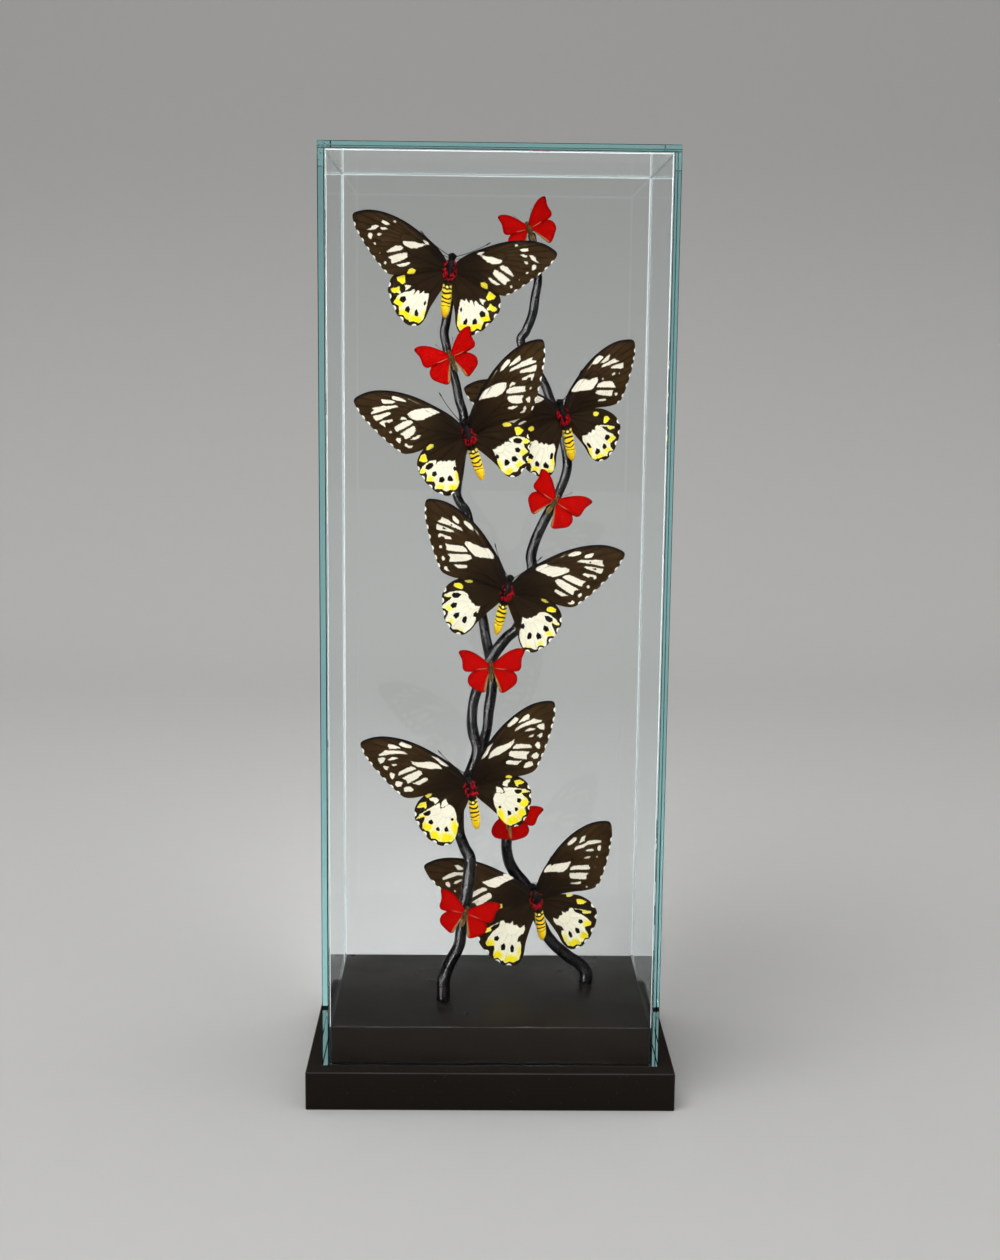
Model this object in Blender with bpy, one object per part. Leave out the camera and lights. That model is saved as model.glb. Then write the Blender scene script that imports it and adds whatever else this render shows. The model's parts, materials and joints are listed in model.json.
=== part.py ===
"""Mounted birdwing and red butterflies on two twisted vines, in a tall glass case on a stepped base.

Metres, +Z up. The origin is at the middle of the underside of the base board, and the front, which
the butterflies' upper wing faces look at, is towards -Y. Lengths below are in millimetres times MM.
"""

from dataclasses import dataclass
from math import cos, pi, radians, sin

import bmesh
import bpy
from mathutils import Vector

MM = 0.001
GAP = 0.3 * MM  # between pieces that rest on, or stand beside, each other
FRONT = Vector((0, -1, 0))

# Stepped wooden base
BOARD_WIDTH = 328 * MM
BOARD_DEPTH = 230 * MM
BOARD_HEIGHT = 35 * MM
BOARD_ROUNDING = 1.2 * MM
PLINTH_HEIGHT = 35 * MM
PLINTH_CLEARANCE = 1.2 * MM  # between the plinth and the panes around it
PLINTH_TOP = BOARD_HEIGHT + PLINTH_HEIGHT

# Glass case that stands on the base board, round the plinth
CASE_WIDTH = 300 * MM
CASE_DEPTH = 200 * MM
CASE_HEIGHT = 800 * MM
PANE = 6 * MM
PANE_ARRIS = 0.5 * MM

# Vines: each a single stem that tapers from its foot to its tip
VINE_FOOT_RADIUS = 5.9 * MM
VINE_TIP_RADIUS = 3.7 * MM
VINE_SIDES = 8
VINE_RIDGE = 0.09  # how far the lengthwise ridges stand out, as a share of the radius
VINE_TWIST = 9.0  # turns of the ridges' pattern for each metre of stem

# Routes of the two stems, in millimetres, from foot to tip. They cross at a height of 390.
VINE_ROUTES = {
    "branch_left": (
        (-43.5, -28.5, 70), (-43.5, -28, 81), (-43, -27.5, 92), (-37.5, -26.5, 106.5),
        (-29.5, -26, 121.5), (-27.5, -25, 136), (-22.5, -22, 171.5), (-20.5, -20, 189.5),
        (-20, -18.5, 203.5), (-25.5, -17, 214.5), (-30.5, -16, 231), (-29.5, -14, 257.5),
        (-20.5, -13, 281), (-14, -12, 303.5), (-18, -11, 321), (-19, -10.5, 338.5),
        (-15.5, -9.5, 358), (-2, -8, 389.5), (11.5, -6.5, 408), (21.5, -5, 418),
        (30.5, -2, 442.5), (34.5, 1, 470), (33.5, 3, 482.5), (37, 5, 496), (45, 7, 514.5),
        (56, 10, 535), (64, 13, 555), (65.5, 14.5, 571.5), (59, 16, 601), (50, 16, 623),
        (42, 17, 641.5), (22.5, 16, 673.5), (26.5, 15, 685), (32, 14, 698.5),
        (34.5, 12.5, 716), (36.5, 11.5, 733.5), (32, 10.5, 760.5), (30, 10, 772),
    ),
    "branch_right": (
        (92, 19, 70), (92.5, 20, 79), (86.5, 21.5, 87), (75, 23, 94.5), (60.5, 24.5, 107),
        (52, 26, 118.5), (44, 27, 137.5), (38, 28, 155), (32, 27.5, 165), (24, 27, 175),
        (17.5, 26, 187), (14.5, 25, 202), (15, 24, 217), (11, 21.5, 236.5), (8, 18, 259),
        (0, 14, 283), (-7.5, 10.5, 304), (-5, 8, 320.5), (-3.5, 6.5, 339), (-1, 5, 357.5),
        (0, 4.5, 371.5), (-2.5, 4.5, 388.5), (-6, 3.5, 402.5), (-9.5, 2, 421.5),
        (-13.5, 0.5, 442), (-15.5, -1, 460.5), (-20.5, -3, 491), (-25, -6, 521.5),
        (-31.5, -7, 532), (-34.5, -7.5, 543), (-31, -8, 570), (-28.5, -8, 605.5),
        (-33, -8.5, 624), (-36.5, -9, 640), (-41.5, -10, 657), (-44.5, -10, 670.5),
        (-46.5, -9, 682), (-44, -7, 697), (-41.5, -5, 719.5), (-40, -5, 733.5), (-40, -5, 744),
    ),
}

# Wing outlines: how far along the wing's axis, and how far ahead of it, in wing lengths. The axis of
# a forewing ends at its tip. The axis of a birdwing's hindwing runs to the fourth of its dark spots.
BIRDWING_FOREWING = (
    (0.01, 0.02), (0.121, 0.088), (0.247, 0.131), (0.46, 0.168), (0.606, 0.174), (0.743, 0.158),
    (0.862, 0.121), (0.948, 0.066), (1.0, 0.0), (0.953, -0.067), (0.881, -0.124),
    (0.731, -0.209), (0.603, -0.268), (0.492, -0.307), (0.42, -0.29), (0.35, -0.245),
    (0.28, -0.175), (0.15, -0.095), (0.01, -0.03),
)
BIRDWING_HINDWING = (
    (0.03, 0.04), (0.12, 0.18), (0.24, 0.31), (0.34, 0.365), (0.42, 0.377), (0.49, 0.355),
    (0.543, 0.308), (0.596, 0.225), (0.64, 0.127), (0.655, 0.03), (0.64, -0.048),
    (0.588, -0.1), (0.5, -0.105), (0.4, -0.08), (0.28, -0.065), (0.15, -0.055), (0.03, -0.03),
)
RED_FOREWING = (
    (0.01, 0.03), (0.2, 0.103), (0.37, 0.14), (0.6, 0.168), (0.8, 0.15), (0.95, 0.082),
    (1.0, 0.0), (0.925, -0.078), (0.83, -0.153), (0.76, -0.255), (0.7, -0.357),
    (0.6, -0.405), (0.47, -0.36), (0.3, -0.255), (0.01, -0.03),
)
RED_HINDWING = (
    (0.02, 0.02), (0.3, -0.12), (0.44, -0.29), (0.49, -0.43), (0.485, -0.54), (0.42, -0.645),
    (0.31, -0.705), (0.04, -0.745), (-0.055, -0.73), (-0.1, -0.665), (-0.08, -0.52), (0.0, -0.12),
)

ANTENNA_BOW = 0.16  # how far the feelers bow outwards, in their own lengths
ANTENNA_LEAN = 3 * MM  # how far their tips lean to the front
ANTENNA_TAPER = (1.0, 0.9, 1.5)  # thickness at the root, in the middle and at the club

# Legs: places beside and behind the body's axis in shoulder radii, and shares of their own lengths
HIP_BESIDE = 0.3
HIP_BEHIND = 0.45
KNEE_BEHIND = 0.9
KNEE_ALONG = 0.6  # how far the knee stands along the body, against hip and foot together
KNEE_ROUNDING = 0.2  # share of the thigh and of the shin that the bend of a leg takes
FOOT_STRIDE = 0.4  # how far past the knee the foot reaches along the body
FOOT_TAPER = 0.7

# Turned bodies: place along the body's axis from the wing roots, positive to the head, and radius
BIRDWING_BODY = (
    (15.0, 0.0), (14.0, 2.3), (11.5, 3.5), (8.8, 2.9), (6.2, 4.7), (1.5, 6.0), (-4.5, 5.6),
    (-10.2, 3.5), (-13.0, 4.1), (-24.0, 4.7), (-35.0, 4.1), (-40.5, 1.9), (-42.0, 0.0),
)
RED_BODY = (
    (7.0, 0.0), (6.3, 1.3), (4.8, 1.8), (3.3, 1.5), (0.8, 2.6), (-3.0, 2.5), (-5.6, 1.8),
    (-9.0, 2.0), (-12.5, 1.3), (-15.0, 0.0),
)


@dataclass(frozen=True)
class Kind:
    """What the specimens of one species share, in millimetres and degrees."""

    forewing: tuple
    hindwing: tuple
    fore_hub: tuple  # the point of the outline that stands proudest, where the plate is domed
    hind_hub: tuple
    thickness: float
    dome: float
    fore_layer: float  # how far the forewings' roots lie in front of the body's axis
    hind_layer: float
    hind_drop: float  # how much less than the forewings the hindwings rise from the body
    body: tuple
    brow: tuple  # where the feelers leave the head: place along the body, and radius there
    shoulder: float  # the thorax's radius where the legs leave it
    waist: float  # where the abdomen begins, along the body
    body_sides: int
    antenna: float
    antenna_radius: float
    leg_radius: float
    leg_reach: float  # how far to the side the knees stand
    leg_places: tuple  # where the legs leave the thorax, and where they hold on, along the body
    finish: str
    colour: tuple
    roughness: float


@dataclass(frozen=True)
class Wing:
    """One pair of a specimen's wings, on its left or its right."""

    length: float  # forewing, millimetres
    spread: float  # degrees between the head's direction and the forewing's axis
    sweep: float  # degrees from the forewing's axis back to the hindwing's
    hind: float  # hindwing length in forewing lengths
    breadth: float = 1.0  # of the forewing, against its kind's outline


@dataclass(frozen=True)
class Specimen:
    """One mounted butterfly, placed by its wing roots."""

    name: str
    kind: Kind
    place: tuple  # millimetres
    heading: float  # degrees from +X to the head, seen from the front
    trail: float  # the same angle for the abdomen, which may hang at a slant to the thorax
    rise: float  # degrees that the wings rise from the body towards the front
    left: Wing
    right: Wing
    antennae: tuple  # degrees that the left and right antennae spread
    perches: tuple  # the stems that the left and the right legs hold


BIRDWING = Kind(
    forewing=BIRDWING_FOREWING, hindwing=BIRDWING_HINDWING, fore_hub=(0.45, -0.05),
    hind_hub=(0.38, 0.13), thickness=0.7, dome=1.6, fore_layer=2.2,
    hind_layer=0.6, hind_drop=2.0, body=BIRDWING_BODY, brow=(11.5, 3.5), shoulder=4.7,
    waist=-10.2, body_sides=8, antenna=34.0, antenna_radius=0.4, leg_radius=0.55, leg_reach=9.5,
    leg_places=((4.5, 15.0), (0.5, -10.0), (-4.0, -21.0)),
    finish="birdwing_wings", colour=(0.03, 0.02, 0.015), roughness=0.6,
)
RED = Kind(
    forewing=RED_FOREWING, hindwing=RED_HINDWING, fore_hub=(0.52, -0.1), hind_hub=(0.2, -0.42),
    thickness=0.5, dome=0.6, fore_layer=0.9, hind_layer=0.0, hind_drop=1.0,
    body=RED_BODY, brow=(4.8, 1.8), shoulder=2.6, waist=-5.6, body_sides=6, antenna=13.0,
    antenna_radius=0.22, leg_radius=0.3, leg_reach=5.5, leg_places=((1.2, 4.0), (-1.8, -5.0)),
    finish="red_wings", colour=(0.55, 0.0, 0.0), roughness=0.75,
)

SPECIMENS = (
    Specimen("birdwing_1", BIRDWING, (-41.7, -15.0, 736.6), 79.6, 85, 7,
             Wing(96.2, 72.0, 79.5, 0.966), Wing(95.0, 71.2, 79.9, 0.965),
             (61, 58), ("branch_right", "branch_right")),
    Specimen("birdwing_2", BIRDWING, (-24.7, -19.0, 592.8), 107.5, 109, 7,
             Wing(105.3, 55.8, 84.7, 0.838), Wing(106.5, 55.3, 86.6, 0.838, 0.95),
             (20, 38), ("branch_right", "branch_right")),
    Specimen("birdwing_3", BIRDWING, (60.8, 4.5, 610.6), 107.1, 101, 3,
             Wing(92.5, 58.4, 84.7, 0.982), Wing(90.9, 59.7, 91.3, 0.942, 1.02),
             (44, 48), ("branch_left", "branch_left")),
    Specimen("birdwing_4", BIRDWING, (11.7, -10.0, 452.7), 75.8, 77.5, 6,
             Wing(110.5, 55.7, 84.4, 0.866, 0.96), Wing(111.5, 56.9, 83.1, 0.85, 0.94),
             (36, 38), ("branch_right", "branch_left")),
    Specimen("birdwing_5", BIRDWING, (-20.4, -25.0, 274.4), 102.1, 98.5, 7,
             Wing(108.0, 55.0, 86.0, 0.879, 0.95), Wing(111.0, 54.9, 82.3, 0.819, 0.93),
             (36, 36), ("branch_left", "branch_left")),
    Specimen("birdwing_6", BIRDWING, (43.0, 15.0, 154.5), 104.3, 98.5, 6,
             Wing(112.0, 57.4, 85.0, 0.979, 0.93), Wing(103.9, 55.3, 96.2, 0.943, 1.05),
             (50, 40), ("branch_right", "branch_right")),
    Specimen("red_butterfly_1", RED, (27.8, 3.2, 773.9), 113.3, 113.3, 6,
             Wing(29.5, 48.3, 0, 1), Wing(31.0, 49.7, 0, 1),
             (35, 35), ("branch_left", "branch_left")),
    Specimen("red_butterfly_2", RED, (-40.3, -17.0, 661.1), 113.7, 113.7, 6,
             Wing(33.0, 56.4, 0, 1), Wing(31.5, 55.9, 0, 1),
             (35, 35), ("branch_right", "branch_right")),
    Specimen("red_butterfly_3", RED, (54.6, 0.0, 533.3), 56.8, 56.8, 6,
             Wing(32.0, 57.7, 0, 1), Wing(33.6, 57.8, 0, 1),
             (35, 35), ("branch_left", "branch_left")),
    Specimen("red_butterfly_4", RED, (-2.2, -17.0, 382.9), 91.5, 91.5, 6,
             Wing(33.0, 62.0, 6, 1), Wing(35.1, 62.8, 0, 1),
             (35, 35), ("branch_left", "branch_left")),
    Specimen("red_butterfly_5", RED, (16.1, 12.2, 236.4), 88.7, 88.7, 6,
             Wing(32.0, 68.0, 22, 1), Wing(33.5, 77.0, 0, 1),
             (35, 35), ("branch_right", "branch_right")),
    Specimen("red_butterfly_6", RED, (-23.6, -33.0, 156.1), 75.0, 75.0, 6,
             Wing(32.2, 59.8, 6, 1), Wing(33.6, 61.5, 0, 1),
             (35, 35), ("branch_left", "branch_left")),
)


def clear_scene():
    for obj in list(bpy.data.objects):
        bpy.data.objects.remove(obj, do_unlink=True)


def material(name, colour, roughness, transmission=0.0, ior=1.45):
    """A Principled material, made once for each name."""
    made = bpy.data.materials.get(name) or bpy.data.materials.new(name)
    made.use_nodes = True
    shader = made.node_tree.nodes["Principled BSDF"]
    shader.inputs["Base Color"].default_value = (*colour, 1)
    shader.inputs["Roughness"].default_value = roughness
    shader.inputs["Metallic"].default_value = 0
    shader.inputs["Transmission Weight"].default_value = transmission
    shader.inputs["IOR"].default_value = ior
    made.diffuse_color = (*colour, 1)
    return made


def object_from(mesh, name, finish, collection=None):
    """Turns a finished bmesh into an object."""
    bmesh.ops.recalc_face_normals(mesh, faces=mesh.faces)
    data = bpy.data.meshes.new(name)
    mesh.to_mesh(data)
    mesh.free()
    data.materials.append(finish)
    obj = bpy.data.objects.new(name, data)
    (collection or bpy.context.scene.collection).objects.link(obj)
    return obj


def block(name, size, centre, finish, rounding):
    """A rectangular piece whose edges are eased by a bevel."""
    mesh = bmesh.new()
    bmesh.ops.create_cube(mesh, size=1)
    bmesh.ops.scale(mesh, vec=size, verts=mesh.verts)
    obj = object_from(mesh, name, finish)
    obj.location = centre
    bevel = obj.modifiers.new("eased edges", "BEVEL")
    bevel.width = rounding
    bevel.segments = 1
    return obj


def make_base():
    """The base board, and the plinth that stands on it inside the glass."""
    wood = material("black_wood", (0.012, 0.011, 0.011), 0.4)
    block("base_board", (BOARD_WIDTH, BOARD_DEPTH, BOARD_HEIGHT), (0, 0, BOARD_HEIGHT / 2),
          wood, BOARD_ROUNDING)
    inner = 2 * (PANE + PLINTH_CLEARANCE)
    height = PLINTH_HEIGHT - GAP
    block("plinth", (CASE_WIDTH - inner, CASE_DEPTH - inner, height),
          (0, 0, PLINTH_TOP - height / 2), wood, BOARD_ROUNDING)


def make_case():
    """Five panes: the sides run the full depth, front and back stand between them, the top covers all."""
    glass = material("clear_glass", (0.9, 0.97, 0.97), 0.0, transmission=1.0, ior=1.52)
    foot = BOARD_HEIGHT + GAP
    underside = BOARD_HEIGHT + CASE_HEIGHT - PANE
    wall = underside - GAP - foot
    middle = foot + wall / 2
    for side, name in ((-1, "glass_left"), (1, "glass_right")):
        block(name, (PANE, CASE_DEPTH, wall), (side * (CASE_WIDTH - PANE) / 2, 0, middle),
              glass, PANE_ARRIS)
    between = CASE_WIDTH - 2 * (PANE + GAP)
    for side, name in ((-1, "glass_front"), (1, "glass_back")):
        block(name, (between, PANE, wall), (0, side * (CASE_DEPTH - PANE) / 2, middle),
              glass, PANE_ARRIS)
    block("glass_top", (CASE_WIDTH, CASE_DEPTH, PANE), (0, 0, underside + PANE / 2),
          glass, PANE_ARRIS)


def vine_radius(share):
    """Radius of a stem at a share of its length from foot to tip."""
    return VINE_FOOT_RADIUS + (VINE_TIP_RADIUS - VINE_FOOT_RADIUS) * share


def vine_route(name):
    """The stem's centreline, standing on the plinth's top, and its radius at each point."""
    points = [Vector(p) * MM for p in VINE_ROUTES[name]]
    points[0].z = PLINTH_TOP + GAP
    travelled = [0.0]
    for a, b in zip(points, points[1:]):
        travelled.append(travelled[-1] + (b - a).length)
    return points, [vine_radius(length / travelled[-1]) for length in travelled]


def sweep(route, radii, sides, ridge=0.0, twist=0.0, flat_foot=False):
    """A closed tube along a route. Its ridges, if any, wind round it."""
    mesh = bmesh.new()
    before = Vector((0, 0, 1)) if flat_foot else (route[1] - route[0]).normalized()
    across = before.orthogonal().normalized()
    travelled = 0.0
    rings = []
    for i, point in enumerate(route):
        along = before
        if i:
            along = (route[min(i + 1, len(route) - 1)] - route[i - 1]).normalized()
        across = before.rotation_difference(along) @ across
        beside = along.cross(across)
        before = along
        if i:
            travelled += (point - route[i - 1]).length
        ring = []
        for j in range(sides):
            turn = 2 * pi * j / sides
            radius = radii[i] * (1 + ridge * cos(2 * turn + 2 * pi * twist * travelled))
            ring.append(mesh.verts.new(
                point + radius * (cos(turn) * across + sin(turn) * beside)))
        rings.append(ring)
    for near, far in zip(rings, rings[1:]):
        for j in range(sides):
            k = (j + 1) % sides
            mesh.faces.new((near[j], near[k], far[k], far[j]))
    mesh.faces.new(rings[0][::-1])
    mesh.faces.new(rings[-1])
    return mesh


def make_vines():
    bark = material("vine_bark", (0.02, 0.017, 0.018), 0.3)
    for name in VINE_ROUTES:
        mesh = sweep(*vine_route(name), VINE_SIDES, VINE_RIDGE, VINE_TWIST, flat_foot=True)
        vine = object_from(mesh, name, bark)
        vine.data.shade_smooth()


def turned_body(kind, origin, head, trail):
    """A round body, closed at its two ends, whose abdomen follows its own direction from the waist."""
    sides = kind.body_sides
    mesh = bmesh.new()
    rings = []
    for place, radius in kind.body:
        along = trail if place < kind.waist else head
        across = along.cross(FRONT)
        middle = origin + MM * (max(place, kind.waist) * head + min(place - kind.waist, 0) * trail)
        if radius == 0:
            rings.append([mesh.verts.new(middle)])
            continue
        rings.append([
            mesh.verts.new(middle + radius * MM * (cos(turn) * across + sin(turn) * FRONT))
            for turn in (2 * pi * (j + 0.5) / sides for j in range(sides))
        ])
    for near, far in zip(rings, rings[1:]):
        for j in range(sides):
            k = (j + 1) % sides
            corners = [near[j % len(near)], near[k % len(near)], far[k % len(far)], far[j % len(far)]]
            mesh.faces.new(list(dict.fromkeys(corners)))
    return mesh


def wing_plate(outline, hub, length, thickness, dome, origin, along, ahead, normal):
    """A thin plate of the outline's shape that rises from its edge to its hub."""
    def place(a, b, height):
        return origin + MM * (length * (a * along + b * ahead) + height * normal)

    mesh = bmesh.new()
    middles = [mesh.verts.new(place(*hub, dome + face * thickness)) for face in (0.5, -0.5)]
    front, back = ([mesh.verts.new(place(a, b, face * thickness)) for a, b in outline]
                   for face in (0.5, -0.5))
    for j in range(len(outline)):
        k = (j + 1) % len(outline)
        mesh.faces.new((middles[0], front[j], front[k]))
        mesh.faces.new((front[j], back[j], back[k], front[k]))
        mesh.faces.new((back[j], middles[1], back[k]))
    return mesh


def wing_meshes(specimen, wing, side, origin, head, across):
    """The forewing and the hindwing of one side, as plates rooted in the thorax."""
    kind = specimen.kind
    for is_hind in (False, True):
        rise = radians(specimen.rise - kind.hind_drop * is_hind)
        outward = side * across * cos(rise) + FRONT * sin(rise)
        normal = FRONT * cos(rise) - side * across * sin(rise)
        angle = radians(wing.spread + wing.sweep * is_hind)
        along = cos(angle) * head + sin(angle) * outward
        ahead = sin(angle) * head - cos(angle) * outward
        root = origin + MM * (kind.hind_layer if is_hind else kind.fore_layer) * FRONT
        outline = kind.hindwing
        if not is_hind:
            outline = [(a, b * wing.breadth) for a, b in kind.forewing]
        yield wing_plate(
            outline,
            kind.hind_hub if is_hind else kind.fore_hub,
            wing.length * (wing.hind if is_hind else 1.0),
            kind.thickness, kind.dome * (0.6 if is_hind else 1.0), root, along, ahead, normal)


def antenna_mesh(kind, origin, head, across, side, spread):
    """A thin feeler that bows outward and ends in a slight club."""
    angle = radians(spread)
    place, brow_radius = kind.brow
    start = origin + MM * (place * head + 0.5 * brow_radius * side * across)
    along = cos(angle) * head + side * sin(angle) * across
    beside = side * cos(angle) * across - sin(angle) * head
    length = kind.antenna * MM
    route = [start + length * (t * along + ANTENNA_BOW * t * (1 - t) * beside) + ANTENNA_LEAN * t * FRONT
             for t in (0, 0.5, 1)]
    radii = [kind.antenna_radius * MM * k for k in ANTENNA_TAPER]
    return sweep(route, radii, 3)


def nearest_on_vine(name, point):
    """The closest place on a stem's centreline, and the stem's radius there."""
    route, radii = vine_route(name)
    best = min(range(len(route)), key=lambda i: (route[i] - point).length)
    nearest = route[best]
    for other in (best - 1, best + 1):
        if 0 <= other < len(route):
            run = route[other] - route[best]
            share = max(0.0, min(1.0, (point - route[best]).dot(run) / run.length_squared))
            candidate = route[best] + share * run
            if (candidate - point).length < (nearest - point).length:
                nearest = candidate
    return nearest, max(radii[max(best - 1, 0):best + 2])


def leg_meshes(specimen, origin, head, across, side, perch):
    """The legs of one side, each bent at the knee, whose feet stop at the stem's bark."""
    kind = specimen.kind
    thin = kind.leg_radius * MM
    shoulder = kind.shoulder * MM
    for hip_place, foot_place in kind.leg_places:
        hip = (origin + MM * hip_place * head
               + shoulder * (HIP_BESIDE * side * across - HIP_BEHIND * FRONT))
        knee = (origin + MM * KNEE_ALONG * (hip_place + foot_place) * head
                + MM * kind.leg_reach * side * across - KNEE_BEHIND * shoulder * FRONT)
        reach = knee + MM * FOOT_STRIDE * (foot_place - hip_place) * head
        stem, radius = nearest_on_vine(perch, reach)
        foot = stem + (radius * (1 + VINE_RIDGE) + thin + GAP) * (reach - stem).normalized()
        route = [hip, knee.lerp(hip, KNEE_ROUNDING), knee.lerp(foot, KNEE_ROUNDING), foot]
        yield sweep(route, [thin, thin, thin, FOOT_TAPER * thin], 3)


def make_specimen(specimen):
    """One butterfly: its wings, feelers and legs fused to its turned body."""
    kind = specimen.kind
    origin = Vector(specimen.place) * MM
    heading = radians(specimen.heading)
    head = Vector((cos(heading), 0, sin(heading)))
    trail = Vector((cos(radians(specimen.trail)), 0, sin(radians(specimen.trail))))
    across = Vector((sin(heading), 0, -cos(heading)))
    finish = material(kind.finish, kind.colour, kind.roughness)
    limbs = bpy.data.collections.new(specimen.name + " limbs")
    bpy.context.scene.collection.children.link(limbs)
    sides = ((-1, specimen.left, specimen.antennae[0], specimen.perches[0]),
             (1, specimen.right, specimen.antennae[1], specimen.perches[1]))
    for side, wing, spread, perch in sides:
        meshes = [*wing_meshes(specimen, wing, side, origin, head, across),
                  antenna_mesh(kind, origin, head, across, side, spread),
                  *leg_meshes(specimen, origin, head, across, side, perch)]
        for mesh in meshes:
            limb = object_from(mesh, specimen.name + " limb", finish, limbs)
            limb.hide_render = True
            limb.display_type = "WIRE"
    body = object_from(turned_body(kind, origin, head, trail), specimen.name, finish)
    fuse = body.modifiers.new("limbs", "BOOLEAN")
    fuse.operation = "UNION"
    fuse.solver = "EXACT"
    fuse.operand_type = "COLLECTION"
    fuse.collection = limbs


def main():
    clear_scene()
    make_base()
    make_case()
    make_vines()
    for specimen in SPECIMENS:
        make_specimen(specimen)


main()
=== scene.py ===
"""Looks of the butterfly case: six birdwings and six small red butterflies on two lacquered vines,
under flat panes of clear glass, on a black stepped base. Lengths are in millimetres times MM.
"""

import json
import logging
from dataclasses import dataclass, field
from enum import Enum, auto
from functools import partial
from math import cos, pi, radians, sin
from typing import Callable, Iterable, Sequence

import bpy
import numpy as np
from mathutils import Matrix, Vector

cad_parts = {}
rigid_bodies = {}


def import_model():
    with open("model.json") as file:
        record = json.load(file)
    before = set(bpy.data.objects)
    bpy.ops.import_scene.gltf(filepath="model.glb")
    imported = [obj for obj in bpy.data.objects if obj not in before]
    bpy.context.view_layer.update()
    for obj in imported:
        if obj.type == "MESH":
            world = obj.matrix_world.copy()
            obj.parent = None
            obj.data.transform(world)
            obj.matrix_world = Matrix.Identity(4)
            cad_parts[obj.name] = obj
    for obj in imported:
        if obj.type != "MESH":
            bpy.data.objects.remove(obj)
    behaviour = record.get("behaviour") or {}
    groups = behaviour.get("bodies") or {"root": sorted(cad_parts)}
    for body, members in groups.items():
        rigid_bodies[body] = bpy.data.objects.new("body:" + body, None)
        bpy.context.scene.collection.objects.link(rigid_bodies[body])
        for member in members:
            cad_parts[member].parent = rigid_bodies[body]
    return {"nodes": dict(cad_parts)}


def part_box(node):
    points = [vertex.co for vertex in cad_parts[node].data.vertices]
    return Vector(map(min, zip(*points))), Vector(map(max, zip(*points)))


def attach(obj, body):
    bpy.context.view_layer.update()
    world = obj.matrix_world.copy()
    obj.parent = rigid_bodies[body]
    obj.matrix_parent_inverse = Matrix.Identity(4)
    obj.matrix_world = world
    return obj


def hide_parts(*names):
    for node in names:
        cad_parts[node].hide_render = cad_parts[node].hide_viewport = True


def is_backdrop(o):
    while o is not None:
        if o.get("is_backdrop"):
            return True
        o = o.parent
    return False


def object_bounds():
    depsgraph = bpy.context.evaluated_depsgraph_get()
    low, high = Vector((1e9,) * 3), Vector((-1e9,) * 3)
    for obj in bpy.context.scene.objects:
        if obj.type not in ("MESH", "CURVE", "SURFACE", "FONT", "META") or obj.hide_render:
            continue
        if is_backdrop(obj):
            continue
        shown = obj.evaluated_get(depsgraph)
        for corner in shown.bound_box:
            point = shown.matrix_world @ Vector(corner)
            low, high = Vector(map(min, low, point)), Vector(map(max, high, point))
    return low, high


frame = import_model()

CAD_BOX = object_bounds()
LOG = logging.getLogger("butterfly case")

MM = 0.001
GAP = 0.3 * MM
FRONT = np.array((0.0, -1.0, 0.0))
MERGE = 0.008 * MM  # points closer than this are one
TINY = 1e-12  # keeps a division off zero
FAR = 50.0  # millimetres, further than any mark reaches
Span = tuple[float, float]
Triple = tuple[float, float, float]
Colour = Triple


# ---- Curves and distances ----

def spline(points: Sequence, steps: int, closed: bool = False) -> np.ndarray:
    """A smooth curve through points.

    Args:
        points: the points that the curve passes through, in two or three dimensions.
        steps: how many pieces each span is cut in.
        closed: whether the last point joins the first.

    Returns:
        The curve's points, with the given ones among them.
    """
    knots = np.asarray(points, dtype=float)
    if closed:
        padded = np.vstack([knots[-1], knots, knots[:2]])
    else:
        padded = np.vstack([2 * knots[0] - knots[1], knots, 2 * knots[-1] - knots[-2]])
    share = (np.arange(steps) / steps)[:, None]
    spans = []
    for before, start, end, after in zip(padded, padded[1:], padded[2:], padded[3:]):
        spans.append(0.5 * (2 * start + (end - before) * share
                            + (2 * before - 5 * start + 4 * end - after) * share ** 2
                            + (3 * start - 3 * end + after - before) * share ** 3))
    if not closed:
        spans.append(knots[-1:])
    return np.vstack(spans)


def distance_to_line(points: np.ndarray, line: np.ndarray, closed: bool = False) -> np.ndarray:
    """How far points lie from a line of straight pieces.

    Args:
        points: in the line's own units.
        line: its corners in order.
        closed: whether its last corner joins its first.

    Returns:
        One distance for each point.
    """
    start = line if closed else line[:-1]
    run = np.roll(line, -1, axis=0) - line if closed else line[1:] - line[:-1]
    offset = points[:, None] - start[None]
    share = np.clip((offset * run).sum(-1) / np.maximum((run ** 2).sum(-1), TINY), 0, 1)
    return np.linalg.norm(offset - share[..., None] * run, axis=-1).min(1)


def inside_by(points: np.ndarray, outline: np.ndarray) -> np.ndarray:
    """How far points lie inside a closed outline.

    Args:
        points: in the outline's own units.
        outline: its corners in order.

    Returns:
        One distance for each point, negative outside.
    """
    start, end = outline, np.roll(outline, -1, axis=0)
    x, y = points[:, 0, None], points[:, 1, None]
    spans = (start[:, 1] > y) != (end[:, 1] > y)
    rise = np.where(start[:, 1] == end[:, 1], TINY, end[:, 1] - start[:, 1])
    crossing = start[:, 0] + (y - start[:, 1]) * (end[:, 0] - start[:, 0]) / rise
    inside = (spans & (x < crossing)).sum(1) % 2 == 1
    distance = distance_to_line(points, outline, closed=True)
    return np.where(inside, distance, -distance)


def read_points(text: str) -> np.ndarray:
    """Reads "along,ahead along,ahead ..." in hundredths of a wing's length as shares of it."""
    return np.array([[float(number) for number in pair.split(",")] for pair in text.split()]) / 100


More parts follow.
